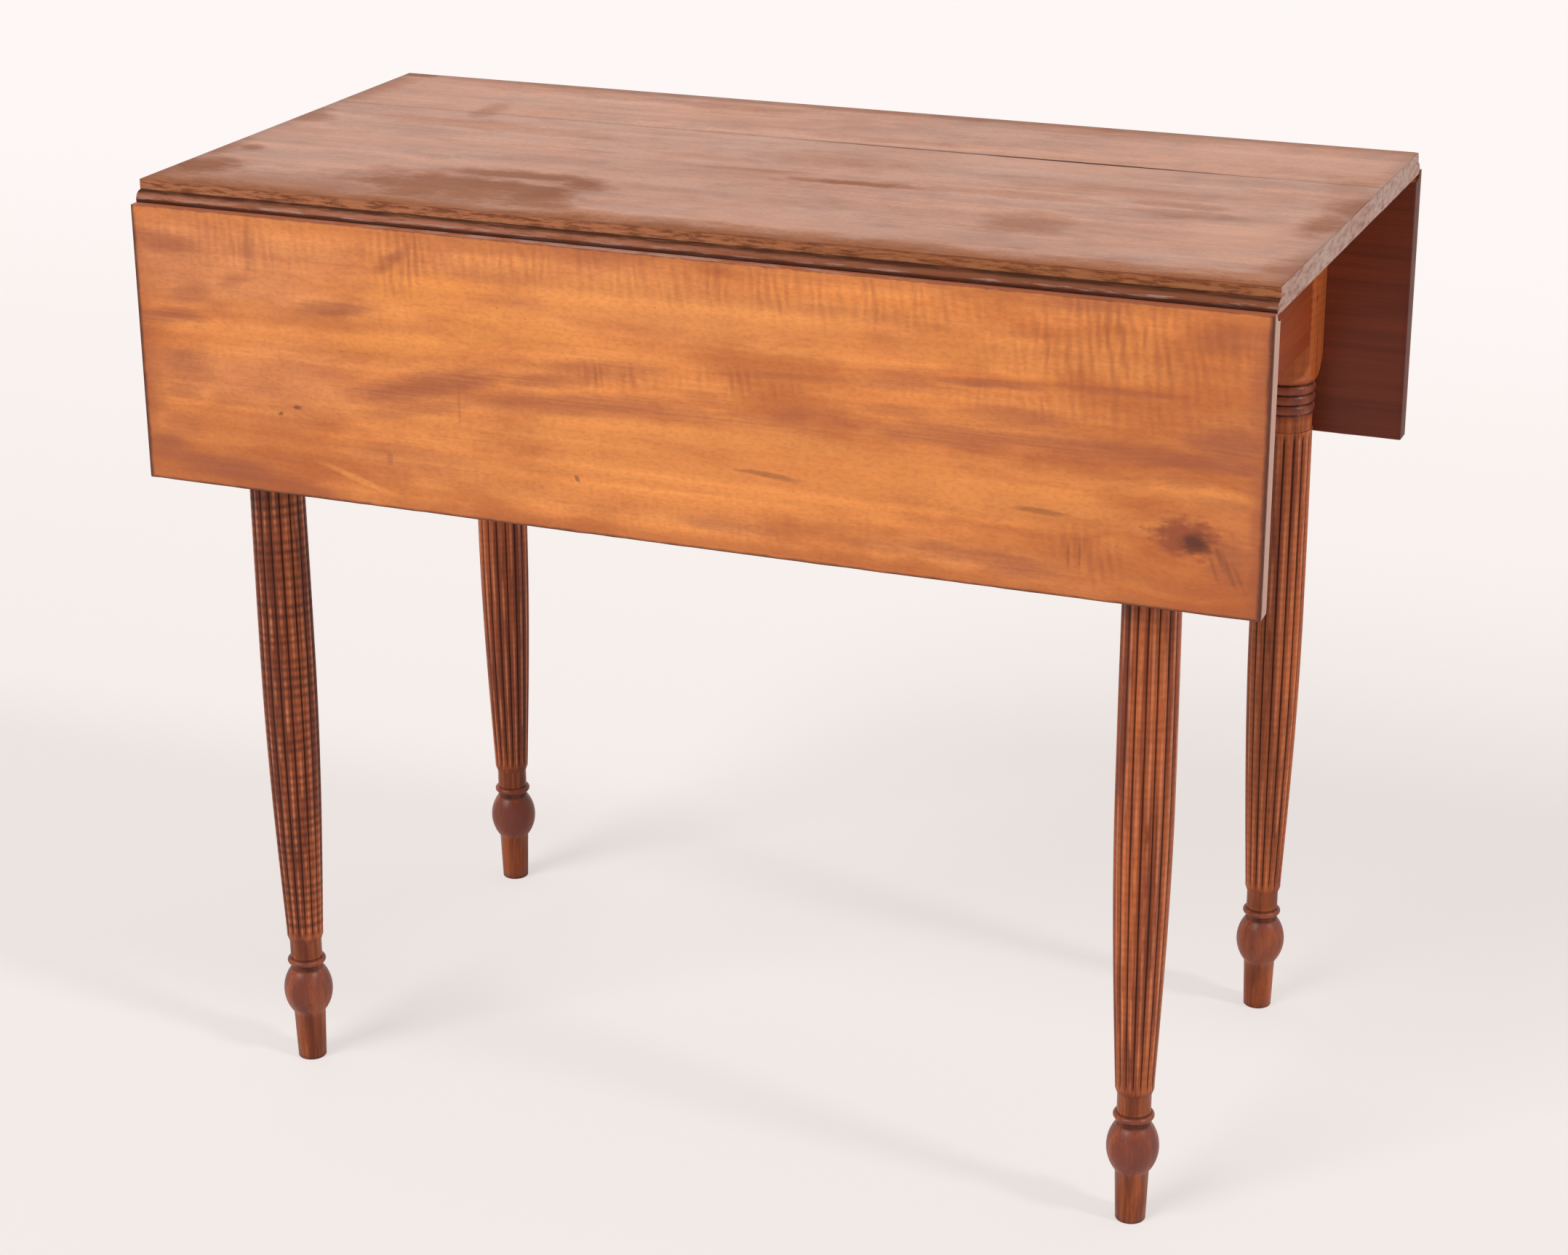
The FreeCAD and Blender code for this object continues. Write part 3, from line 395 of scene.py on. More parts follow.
def makeLeafFinish(name, nodeName, side, photographed):
    g = Finish(name, "x", leaf)
    low, high = [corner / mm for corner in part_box(nodeName)]
    x, y, z = g.split(g.place)
    g.face = g.join(x, z, 0.0)
    if photographed:
        # the grain parts round the knot
        knot = leaf["knot"]
        knotX, knotZ = knot["centre"]
        away = g.vector("SUBTRACT", g.face, (knotX, knotZ, 0))
        near = g.calc("DIVIDE", g.vector("LENGTH", away), knot["swirl"])
        swirl = g.calc("EXPONENT", g.times(near, near, -1.0))
        parted = g.times(g.split(away)[1], g.scaled(swirl, knot["parting"], 1.0))
        g.run = g.join(x, y, g.plus(parted, knotZ))
    fine, broad = g.ground()
    if photographed:
        g.paint(g.cloud("reddish", g.run), 0.62, "red")
        g.paint(g.patches("reds", 0.5, "cloudLump"), 0.75, "red")
        g.paint(g.patches("hazes", 0.6, "cloudLump"), 0.6, "haze")
        g.paint(g.patches("glows", 0.8, "bandLump"), 0.65, "glow")
        bands = g.patches("bands", 0.8, "bandLump")
        spots = g.patches("curlSpots", 0.5, "cloudLump")
    else:
        bands = g.times(g.cloud("backBands", g.run), 0.7)
        spots = g.times(g.cloud("backCurls", g.run), 0.55)
    fibres = g.scaled(fine["Lines"], 0.95, 0.45)
    g.paint(g.times(bands, fibres), 0.78, "smudge")
    for title, strength in leaf["grainCoats"].items():
        g.paint(fine[title], strength, "dark")
    for title, share, least in (("curl", 0.45, 0.03), ("ripple", 0.13, 0.02)):
        figure = g.group(curl, Vector=g.face, **leaf[title])["Figure"]
        g.paint(figure, g.scaled(spots, share, least), "dark")
    if photographed:
        g.paint(g.patches("streaks", 0.9, "streakLump"), 0.7, "line")
        uneven = g.minus(g.lumps(g.face, knot["lump"], 3.0, 0.6), 0.5)
        beside = g.vector("ADD", away, knot["haloShift"])
        halo = g.scaled(uneven, 1.6, g.vector("LENGTH", g.vector("DIVIDE", beside, knot["halo"])))
        core = g.scaled(uneven, 1.1, g.vector("LENGTH", g.vector("DIVIDE", away, knot["reach"])))
        g.paint(g.rise(halo, 1.2, 0.45), 0.92, "dark")
        g.paint(g.rise(core, 1.3, 0.3), 0.8, "line")
    g.paintSpecks()
    # handled arrises are dark, and the face's borders are darker at the sides and the bottom
    wear = g.group(edgeWear, Vector=g.place, Low=low, High=high, Width=1.6, Ragged=2.8)
    g.paint(wear["Rim"], 0.3, "dark")
    g.paint(wear["Arris"], 0.8, "line")
    ragged = g.scaled(g.lumps(g.place, leaf["edgeLump"], 4.0, 0.6), 3.0, -1.5)
    besides = g.plus(g.minus(high[0], g.size(x)), ragged)
    beneath = g.plus(g.minus(z, low[2]), ragged)
    edges = g.most(g.rise(besides, leaf["lineWidths"]["side"], 1.0),
                   g.rise(beneath, leaf["lineWidths"]["bottom"], 0.4))
    g.paint(edges, 0.82, "line")
    # inner face, end grain, and a painted reflection on the ledge that carries the top's quarter round
    outX, outY, outZ = g.facing()
    # inner faces are darker: dirt, and painted shade from under the top
    g.paint(g.rise(g.times(outY, -side), 0.3, 0.8), 0.95, g.tint(g.shade, *leaf["inside"]))
    ends = g.rise(g.size(outX), 0.5, 0.9)
    front = max(abs(low[1]), abs(high[1]))
    pale = g.rise(g.plus(g.size(y), g.times(ragged, 0.6)), front - 2.5, front - 4.5)
    g.paint(ends, pale, leaf["ends"][photographed])
    # painted reflection: a pale line on the leaf's upward ledge, broken along its length, brown where it
    # does not show
    upper = g.times(g.rise(outZ, 0.4, 0.8), g.rise(z, high[2] - 1.5, high[2] - 0.8))
    frayed = g.scaled(g.lumps(g.place, leaf["ledgeLump"], 4.0, 0.65), 900.0, -450.0)
    shown = g.rise(g.plus(g.size(g.plus(x, 60.0)), frayed), 220.0, -40.0)
    g.paint(upper, 0.85, g.tint(shown, leaf["smudge"], leaf["ledge"]))
    dull = g.scaled(broad["Lines"], 0.18, leaf["roughness"] - 0.09)
    gloss = g.scaled(ends, -0.8 * leaf["specular"], leaf["specular"])
    return g.close(g.scaled(wear["Arris"], 0.12, dull), g.scaled(fine["Pores"], -0.6, fine["Lines"]),
                   {"Specular IOR Level": gloss})


# Top: brown maple under old worn varnish

top = {
    "light": colour(0.60, 0.275, 0.160),
    "middle": colour(0.38, 0.152, 0.078),
    "dark": colour(0.19, 0.062, 0.026),
    "patch": colour(0.200, 0.060, 0.020),
    "bare": colour(0.36, 0.125, 0.042),
    "endGrainAndHighlight": colour(0.45, 0.285, 0.235),
    "dirt": colour(0.040, 0.015, 0.008),
    "joint": (colour(0.20, 0.062, 0.028), colour(0.33, 0.120, 0.066)),
    "paintedGapShade": colour(0.050, 0.015, 0.009),
    "edgeTones": (colour(0.13, 0.032, 0.010), colour(0.76, 0.31, 0.12)),
    "roughness": 0.40, "specular": 0.5, "bump": (0.22, 0.3),
    "fine": {"Length": 110.0, "Width": 2.0}, "broad": {"Length": 330.0, "Width": 30.0},
    "shares": (0.55, 0.45), "shadeRange": (0.30, 0.72),
    "grainCoats": {"Streaks": 0.24, "Pores": 0.36, "Flecks": 0.26}, "specks": (30.0, 0.9, 0.7, "dirt"),
    # sizes of the soft lumps that break up patches, the rubbed border, the gloss and the rule joint
    "patchLump": (30.0, 18.0, 1.0), "borderLump": (60.0, 20.0, 20.0), "dullLump": (130.0, 60.0, 60.0),
    "unevenLump": (26.0, 8.0, 3.0),
    "clouds": {"spots": ((30.0, 15.0, 15.0), 5.0, 0.68, 0.46, 0.70),
               "blotches": ((120.0, 55.0, 55.0), 6.0, 0.68, 0.48, 0.68),
               "worn": ((24.0, 3.0, 3.0), 5.0, 0.72, 0.40, 0.58),
               "glints": ((30.0, 6.0, 3.0), 4.0, 0.65, 0.48, 0.62),
               "packed": ((30.0, 6.0, 3.0), 3.0, 0.6, 0.35, 0.55),
               "mottle": ((4.0, 16.0, 5.0), 5.0, 0.7, 0.42, 0.66)},
    "size": ((-432, -210, 706), (432, 210, 724)),
    # heights on the rule joint: dark corner under the fillet, brown quarter round, painted shade at its foot
    # in the gap to the leaf, and painted highlights just above the foot
    "corner": (713.4, 715.4), "shut": (716.9, 716.2), "foot": (711.4, 710.0), "glint": (713.2, 711.6),
    "seam": 87.0,
    "seamOpen": [(208, 87, 125, 6, 0, 1.0), (90, 87, 130, 6, 0, 0.5)],
    # where the varnish is worn through or stained
    "patches": [(-205, -150, 112, 62, 0, 0.85), (-172, -100, 84, 18, 4, 0.85), (-290, -182, 170, 40, 0, 0.5),
                (-135, -150, 40, 56, 0, 0.85), (-115, -178, 32, 18, 0, 0.8), (-115, -112, 28, 26, 0, 0.9),
                (71, -36, 80, 11, 4, 0.9), (222, -108, 42, 44, 0, 0.5), (275, 10, 85, 18, 0, 0.35),
                (318, -42, 52, 16, 0, 0.45), (-412, -160, 40, 42, 0, 0.9), (-425, 208, 34, 16, 0, 0.9),
                (-426, 30, 26, 36, 0, 0.6), (432, 20, 32, 50, 0, 0.7), (432, -165, 32, 50, 0, 0.6),
                (-408, -88, 16, 13, -40, 0.7), (140, -195, 200, 14, 0, 0.35), (-298, 95, 14, 42, 0, 0.4),
                (155, -196, 70, 17, 0, 0.7), (-370, -198, 80, 20, 0, 0.4), (-300, 48, 120, 20, 0, 0.35),
                (0, 203, 430, 9, 0, 0.5), (-430, 160, 26, 80, 0, 0.4), (-20, -22, 70, 7, 4, 0.35),
                (-10, -70, 190, 80, 0, 0.14), (30, 24, 90, 28, 0, 0.35), (-60, 5, 70, 12, 0, 0.3),
                (190, -28, 110, 13, 0, 0.35), (-130, 182, 130, 16, 0, 0.35), (50, 108, 90, 13, 0, 0.3),
                (418, -38, 18, 46, 0, 0.7), (-432, -95, 22, 42, 0, 0.5), (310, -18, 44, 13, 0, 0.45),
                (412, 75, 26, 52, 0, 0.35)],
    # where the varnish is still whole and hazy
    "pales": [(368, -92, 50, 48, 0, 0.9), (-90, 140, 140, 20, 0, 0.6), (200, 72, 195, 13, 0, 0.8),
              (-350, 112, 60, 50, 0, 0.4), (300, 148, 140, 50, 0, 0.5), (40, -172, 70, 28, 0, 0.7),
              (-20, 75, 90, 9, 0, 0.4), (-330, -25, 90, 24, 0, 0.4), (-180, -68, 76, 13, 3, 0.8),
              (-305, -112, 62, 24, 0, 0.5)],
}


def makeTopFinish():
    g = Finish("oldVarnish", "x", top)
    low, high = top["size"]
    x, y, z = g.split(g.place)
    across = g.size(y)
    g.face = g.join(x, y, 0.0)
    facing = g.facing()
    fine, broad = g.ground()
    for title, strength in top["grainCoats"].items():
        g.paint(fine[title], strength, "dark")
    spotty = g.cloud("spots", g.place)
    g.paint(spotty, 0.32, "dark")
    g.paint(g.cloud("blotches", g.place), 0.42, "dark")
    above = g.rise(facing["Z"], -0.8, -0.3)
    patches = g.times(g.patches("patches", 0.8, "patchLump"), above)
    g.paint(g.times(g.patches("pales", 0.7, "patchLump"), above), 0.5, "light")
    g.paint(patches, 0.78, "patch")
    # worn varnish along the front edge shows orange wood, less so at the back
    ragged = g.scaled(g.lumps(g.place, top["borderLump"], 6.0, 0.65), -70.0, 35.0)
    inset = g.minus(high[1], across)
    forward = g.rise(y, 100.0, -100.0)
    rubbed = g.times(g.rise(g.plus(inset, ragged), 42.0, 0.0), g.scaled(forward, 0.7, 0.3))
    g.paint(rubbed, 0.75, "bare")
    g.paint(g.times(rubbed, fine["Flecks"]), 0.5, "dark")
    g.paint(g.times(rubbed, spotty), 0.6, "dark")
    wear = g.group(edgeWear, Vector=g.place, Low=low, High=high, Width=1.8, Ragged=3.2)
    g.paint(wear["Rim"], 0.4, "dark")
    g.paint(wear["Arris"], 0.7, top["edgeTones"][0])
    # rule joint below the fillet
    worn = g.cloud("worn", g.place)
    rim = g.rise(across, high[1] - 1.6, high[1] - 0.5)
    g.paint(rim, 0.85, g.tint(g.times(worn, forward), *top["edgeTones"]))
    g.paint(g.times(rim, g.rise(z, high[2] - 1.6, high[2] - 0.5)), 0.75, "dark")
    beyond = g.rise(across, high[1] - 0.3, high[1] + 0.2)
    uneven = g.plus(z, g.scaled(g.lumps(g.place, top["unevenLump"], 4.0, 0.6), 2.4, -1.2))
    drift = g.plus(x, g.scaled(broad["Lines"], 300.0, -150.0))
    quarter = g.tint(g.rise(drift, 250.0, -150.0), *top["joint"])
    quarter = g.coat(quarter, g.rise(worn, 0.6, 0.2), 0.6, top["dark"])
    # painted highlights: pale streaks on the lower part of the quarter round
    glints = g.times(g.cloud("glints", g.place), g.rise(z, *top["glint"]))
    quarter = g.coat(quarter, glints, 0.6, top["endGrainAndHighlight"])
    # painted shade at the quarter round's foot, in the gap to the leaf
    quarter = g.coat(quarter, g.rise(uneven, *top["foot"]), 0.85, top["paintedGapShade"])
    g.base = g.tint(beyond, g.base, quarter)
    packed = g.scaled(g.cloud("packed", g.place), 0.35, 0.55)
    g.paint(g.times(g.rise(uneven, *top["corner"]), g.rise(z, *top["shut"]), rim), packed, "dirt")
    # end grain and underside
    ends = g.rise(g.size(facing["X"]), 0.45, 0.9)
    mottled = g.coat(top["endGrainAndHighlight"], g.cloud("mottle", g.place), 0.7, top["dark"])
    g.base = g.tint(ends, g.base, mottled)
    g.paint(g.rise(g.times(facing["Z"], -1.0), 0.6, 0.9), 0.6, "dark")
    # the glued seam has opened over part of its length
    seam = g.rise(g.size(g.minus(y, top["seam"])), 3.0, 0.9)
    opened = g.patches("seamOpen", 0.5, "patchLump")
    g.paint(seam, g.scaled(opened, 0.8, 0.2), "dirt")
    g.paintSpecks()
    cloud = g.minus(g.lumps(g.place, top["dullLump"], 4.0, 0.55), 0.5)
    dull = g.scaled(cloud, 0.30, top["roughness"])
    bared = g.most(patches, g.most(rubbed, rim))
    bared = g.most(bared, g.times(seam, opened))
    roughness = g.plus(dull, g.times(bared, 0.25), g.times(ends, 0.2))
    gloss = g.scaled(bared, -0.8 * top["specular"], top["specular"])
    return g.close(roughness, g.scaled(fine["Pores"], -0.7, fine["Lines"]), {"Specular IOR Level": gloss})


# Legs: red-brown stained maple, rubbed on the crests with a painted highlight along them, and dark in the
# grooves

legWood = {
    "light": colour(0.60, 0.146, 0.035),
    "middle": colour(0.24, 0.047, 0.013),
    "dark": colour(0.075, 0.014, 0.006),
    "groove": colour(0.042, 0.011, 0.007),
    # lighter orange of the crests: rubbed wood and painted highlight
    "rubbed": colour(0.70, 0.225, 0.092),
    "turned": colour(0.165, 0.046, 0.034),
    "roughness": 0.33, "specular": 0.25, "bump": (0.2, 0.25),
    "fine": {"Length": 120.0, "Width": 1.8}, "broad": {"Length": 300.0, "Width": 12.0},
    "shares": (0.8, 0.4), "shadeRange": (0.47, 0.70), "specks": (24.0, 0.8, 0.6, "groove"),
    "rimLump": (5.0, 5.0, 5.0), "clouds": {"patchy": ((45.0, 12.0, 12.0), 3.0, 0.5, 0.36, 0.62)},
    "stripe": {"Pitch": 7.4, "Lean": 0.1, "Wander": 10.0, "Break": 0.5},
    "stripeStart": (98.0, 125.0),
    # parts that handling and dirt have changed: bottom, head, softness, strength and tone
    "bands": [(-9.0, 41.0, 3.0, 0.53, "dark"), (43.0, 81.0, 3.0, 0.85, "turned"),
              (79.6, 84.4, 0.7, 0.85, "groove"), (84.0, 89.5, 0.8, 0.75, "turned"),
              (89.0, 90.6, 0.7, 0.8, "groove"), (91.0, 109.0, 2.0, 0.55, "dark"),
              (110.0, 250.0, 60.0, 0.18, "dark"), (517.0, 545.0, 2.5, 0.92, "turned"),
              (518.3, 519.7, 0.6, 0.8, "groove"), (526.3, 527.7, 0.6, 0.8, "groove"),
              (534.3, 535.7, 0.6, 0.8, "groove"), (542.3, 543.9, 0.6, 0.8, "groove")],
}


def makeLegFinish(name, stripes, lighter):
    g = Finish(name, "z", legWood)
    height = g.split(g.place)[2]
    fine = g.ground(lighter)[0]
    g.paint(fine["Streaks"], 0.42 - lighter, "dark")
    g.paint(fine["Flecks"], 0.15, "dark")
    patchy = g.cloud("patchy", g.run)
    for bottom, head, soft, strength, stain in legWood["bands"]:
        band = g.times(g.rise(height, bottom - soft, bottom + soft),
                       g.rise(height, head + soft, head - soft))
        g.paint(g.times(band, g.scaled(patchy, -0.4, 1.0)), strength, stain)
    hollow, crest = [g.add("ShaderNodeAttribute", attribute_name=title).outputs["Fac"]
                     for title in ("groove", "crest")]
    # lighter crests: rubbed wood, and a painted highlight along each crest
    g.paint(g.times(crest, patchy), 0.7, "rubbed")
    figure = g.group(curl, Vector=g.run, **legWood["stripe"])["Figure"]
    g.paint(g.times(figure, g.rise(height, *legWood["stripeStart"])), stripes, "dark")
    g.paint(hollow, 0.92, "groove")
    uneven = g.plus(height, g.times(g.lumps(g.place, legWood["rimLump"]), 4.0))
    g.paint(g.rise(uneven, 6.0, 1.0), 0.75, "dark")
    g.paintSpecks()
    dull = g.scaled(g.tone, 0.16, legWood["roughness"] - 0.08)
    return g.close(g.scaled(hollow, 0.3, dull), fine["Lines"], {"Specular IOR Level": legWood["specular"]})


# Rails and flies: the same maple, duller, and darker as painted shade under the top; inside faces are bare
# pine

rail = {
    "shadedMaple": {"light": colour(0.30, 0.055, 0.012), "middle": colour(0.195, 0.032, 0.007),
              "dark": colour(0.08, 0.013, 0.004)},
    "pine": {"light": colour(0.50, 0.27, 0.115), "middle": colour(0.40, 0.20, 0.080),
             "dark": colour(0.18, 0.082, 0.034)},
    "roughness": 0.55, "specular": 0.12, "bump": (0.3, 0.35),
    "fine": {"Length": 120.0, "Width": 2.0}, "broad": {"Length": 360.0, "Width": 18.0},
    "shares": (0.75, 0.4), "shadeRange": (0.34, 0.8), "specks": (26.0, 0.9, 0.6, "dark"),
}


def makeRailFinish(name, axis, kind):
    g = Finish(name, axis, {**rail, **rail[kind]})
    fine, broad = g.ground()
    g.paint(broad["Streaks"], 0.35, "dark")
    g.paint(fine["Pores"], 0.35, "dark")
    g.paintSpecks()
    dull = g.scaled(g.tone, 0.25, rail["roughness"] - 0.12)
    return g.close(dull, fine["Lines"], {"Specular IOR Level": rail["specular"]})


# Iron: dark, pitted, with a bloom of rust

iron = {
    "dark": colour(0.045, 0.038, 0.034), "rust": colour(0.16, 0.062, 0.026),
    "roughness": 0.5, "bump": (0.35, 0.2),
    "clouds": {"bloom": ((6.0, 6.0, 6.0), 5.0, 0.65, 0.48, 0.66),
               "pits": ((1.1, 1.1, 1.1), 3.0, 0.6, 0.5, 0.68)},
}


def makeIronFinish():
    g = Finish("oldIron", "x", iron)
    bloom = g.cloud("bloom", g.run)
    g.base = iron["dark"]
    g.paint(bloom, 0.75, "rust")
    dull = g.scaled(bloom, 0.3, iron["roughness"] - 0.1)
    sunk = g.times(g.cloud("pits", g.run), -1.0)
    return g.close(dull, sunk, {"Metallic": g.scaled(bloom, -0.7, 0.85)})


finishes = {
    "frontLeaf": makeLeafFinish("frontLeafMaple", "front_leaf", -1, True),
    "backLeaf": makeLeafFinish("backLeafMaple", "back_leaf", 1, False),
    "top": makeTopFinish(),
    "stripedLeg": makeLegFinish("stripedLegMaple", 0.72, -0.04),
    "plainLeg": makeLegFinish("plainLegMaple", 0.2, 0.0),
    # the plain leg finish made lighter for the back right leg: painted light against the shade that falls on
    # it
    "plainLegPaintedLight": makeLegFinish("plainLegMaplePaintedLight", 0.2, 0.08),
    "railX": makeRailFinish("longRailMaple", "x", "shadedMaple"),
    "railY": makeRailFinish("endRailMaple", "y", "shadedMaple"),
    "pineX": makeRailFinish("longPine", "x", "pine"),
    "iron": makeIronFinish(),
}
print("finishes:", len(finishes))


# Boards, leaves and rails: the CAD shape with softened and worn arrises

board = {
    "worn": {"soften": 0.9, "segments": 3, "station": 9.0},
    "plain": {"soften": 0.5, "segments": 2, "station": None},
    # cuts just inside each face keep the flats flat beside the rounded arrises
    "insets": (1.4, 3.2),
    "filletY": 210.0,
    "wearDepth": 0.55, "wearReach": 3.0, "wearLump": 14.0,
    "outerReach": 0.6, "longShare": 0.6, "flatAngle": 0.5, "sharpAngle": 25, "shadeAngle": 38,
}


def cutAt(shape, axis, level):
    normal = Vector([float(i == axis) for i in range(3)])
    everything = shape.verts[:] + shape.edges[:] + shape.faces[:]
    bmesh.ops.bisect_plane(shape, geom=everything, plane_co=normal * level, plane_no=normal)


def softCopy(nodeName, plan):
    copy = nodes[nodeName].data.copy()
    low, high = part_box(nodeName)
    shape = openMesh(copy)
    flat = math.radians(board["flatAngle"])
    bmesh.ops.dissolve_limit(shape, angle_limit=flat, verts=shape.verts, edges=shape.edges)

    # along the piece's box, or as long as the piece
    def outside(edge):
        middle = (edge.verts[0].co + edge.verts[1].co) / 2
        near = [min(middle[i] - low[i], high[i] - middle[i]) < board["outerReach"] * mm for i in range(3)]
        return sum(near) >= 2 or edge.calc_length() > board["longShare"] * (high - low).length

    bend = math.radians(board["sharpAngle"])
    sharp = [e for e in shape.edges if e.is_manifold and e.calc_face_angle(0) > bend]
    bmesh.ops.bevel(shape, geom=[e for e in sharp if outside(e)], offset=plan["soften"] * mm,
                    offset_type="OFFSET", segments=plan["segments"], profile=0.5, affect="EDGES",
                    clamp_overlap=True)
    for inset in board["insets"]:
        for axis in range(3):
            cutAt(shape, axis, low[axis] + inset * mm)
            cutAt(shape, axis, high[axis] - inset * mm)
        for side in (-1, 1):
            cutAt(shape, 1, side * (board["filletY"] - inset) * mm)
    if plan["station"]:
        count = int((high.x - low.x) / (plan["station"] * mm))
        for number in range(1, count):
            cutAt(shape, 0, low.x + (high.x - low.x) * number / count)
        wearArrises(shape, low, high)
    return closeMesh(shape, copy, board["shadeAngle"])


def wearArrises(shape, low, high):
    middle = (low + high) / 2
    reach = board["wearReach"] * mm
    for vert in shape.verts:
        rooms = [min(vert.co[i] - low[i], high[i] - vert.co[i]) for i in range(3)]
        near = 1 - sorted(rooms)[1] / reach
        if near > 0:
            bite = noise.fractal(vert.co / (board["wearLump"] * mm), 0.9, 2.0, 3) * 0.5 + 0.35
            depth = board["wearDepth"] * mm * near * max(0.0, bite)
            inward = [math.copysign(depth, middle[i] - vert.co[i]) if rooms[i] < reach else 0.0
                      for i in range(3)]
            vert.co += Vector(inward)


def dress(mesh, material):
    mesh.materials.clear()
    mesh.materials.append(finishes[material])


def addPiece(name, mesh, body, material, replaced):
    piece = addObject(name, mesh)
    dress(mesh, material)
    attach(piece, body)
    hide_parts(replaced)


# body, slot, finish and plan of the nodes that are softened
woodPieces = {
    ("frame", "top_wood", "top", "worn"): ["top_back_board", "top_front_board"],
    ("front_leaf", "leaf_wood", "frontLeaf", "worn"): ["front_leaf"],
    ("back_leaf", "leaf_wood", "backLeaf", "worn"): ["back_leaf"],
    ("frame", "rail_wood", "railY", "plain"): ["right_end_rail", "left_end_rail"],
    ("frame", "rail_wood", "railX", "plain"): ["back_left_outer_rail", "back_right_outer_rail",
                                               "front_left_outer_rail", "front_right_outer_rail"],
    ("back_fly", "rail_wood", "railX", "plain"): ["back_fly"],
    ("front_fly", "rail_wood", "railX", "plain"): ["front_fly"],
}
for (body, slotName, material, plan), names in woodPieces.items():
    for nodeName in names:
        addPiece(nodeName + "_wood", softCopy(nodeName, board[plan]), body, material, nodeName)
print("softened wood pieces:", sum(len(names) for names in woodPieces.values()))


# Geometry Nodes trees: made with named inputs, run on a carrier and kept as plain meshes

def geometryGroup(name, inputs):
    tree = bpy.data.node_groups.new(name, "GeometryNodeTree")
    addInputs(tree, inputs)
    tree.interface.new_socket(name="Result", in_out="OUTPUT", socket_type="NodeSocketGeometry")
    g = Graph(tree)
    return tree, g, g.add("NodeGroupInput").outputs


def closeGroup(g, geometry, finish):
    whole = g.add("GeometryNodeRealizeInstances", {"Geometry": geometry}).outputs[0]
    dressed = g.add("GeometryNodeSetMaterial", {"Geometry": whole, "Material": finish}).outputs[0]
    g.feed(g.add("NodeGroupOutput").inputs["Result"], dressed)


def storeValue(g, geometry, title, value):
    store = g.add("GeometryNodeStoreNamedAttribute", {"Geometry": geometry, "Name": title},
                  data_type="FLOAT", domain="POINT")
    g.feed(next(s for s in store.inputs if s.name == "Value" and s.enabled), value)
    return store.outputs[0]


def runTree(name, tree, source, inputs, shadeAngle):
    carrier = addObject(name + "Source", source)
    modifier = carrier.modifiers.new(name, "NODES")
    modifier.node_group = tree
    sockets = {s.name: s.identifier for s in tree.interface.items_tree if s.in_out == "INPUT"}
    for title, value in inputs.items():
        modifier[sockets[title]] = value
    graph = bpy.context.evaluated_depsgraph_get()
    mesh = bpy.data.meshes.new_from_object(carrier.evaluated_get(graph))
    carrier.modifiers.remove(modifier)
    bpy.data.objects.remove(carrier)
    return closeMesh(openMesh(mesh), mesh, shadeAngle)


# Legs: a turning with reeds on the shaft and a square post above

leg = {
    "reeds": 16.0, "around": 320, "reedRadiusShare": 0.206, "runOut": 7.0, "shadeAngle": 42,
    # the turning from the floor up: radius and height of each part
    "peg": [(0.0, 0.0), (7.0, 0.0), (10.7, 0.0), (11.2, 0.6), (11.7, 14.0), (12.1, 27.0), (12.6, 41.0)],
    "ball": ((12.6, 41.0), (19.4, 63.23), (12.8, 80.0)),
    "ring": [(12.8, 84.0), (15.3, 86.5), (12.6, 89.0)],
    "neck": [(12.6, 96.0), (12.6, 104.0)],
    "shaft": (109.0, 505.0), "shaftDiameters": (28.8, 43.0, 41.8), "swellShare": 0.6, "step": 3.0,
    "band": [(20.0, 505.4), (20.0, 512.0), (20.0, 519.0)],
    "beads": {"count": 3, "bottom": 519.0, "height": 8.0, "groove": 19.3, "crown": 21.5},
    "pommel": {"bottom": 543.0, "top": 573.0, "shares": (0.72, 0.36)},
    "post": 43.0, "postTop": 706.0, "topRound": 0.6, "squareness": 60.0, "arcSteps": 18,
}


def arcThrough(start, via, end):
    (ax, ay), (bx, by), (cx, cy) = start, via, end
    turn = 2 * (ax * (by - cy) + bx * (cy - ay) + cx * (ay - by))
    a, b, c = [x * x + y * y for x, y in (start, via, end)]
    middleX = (a * (by - cy) + b * (cy - ay) + c * (ay - by)) / turn
    middleY = (a * (cx - bx) + b * (ax - cx) + c * (bx - ax)) / turn
    first, between, last = [math.atan2(y - middleY, x - middleX) for x, y in (start, via, end)]
    sweep = (last - first) % math.tau
    if (between - first) % math.tau > sweep:
        sweep -= math.tau
    radius = math.hypot(ax - middleX, ay - middleY)
    steps = leg["arcSteps"]
    angles = [first + sweep * i / steps for i in range(1, steps + 1)]
    return [(middleX + radius * math.cos(t), middleY + radius * math.sin(t)) for t in angles]


def shaftRadius(share):
    foot, swell, head = [d / 2 for d in leg["shaftDiameters"]]
    if share < leg["swellShare"]:
        return foot + (swell - foot) * math.sin(math.pi / 2 * share / leg["swellShare"])
    return swell - (swell - head) * ((share - leg["swellShare"]) / (1 - leg["swellShare"])) ** 2


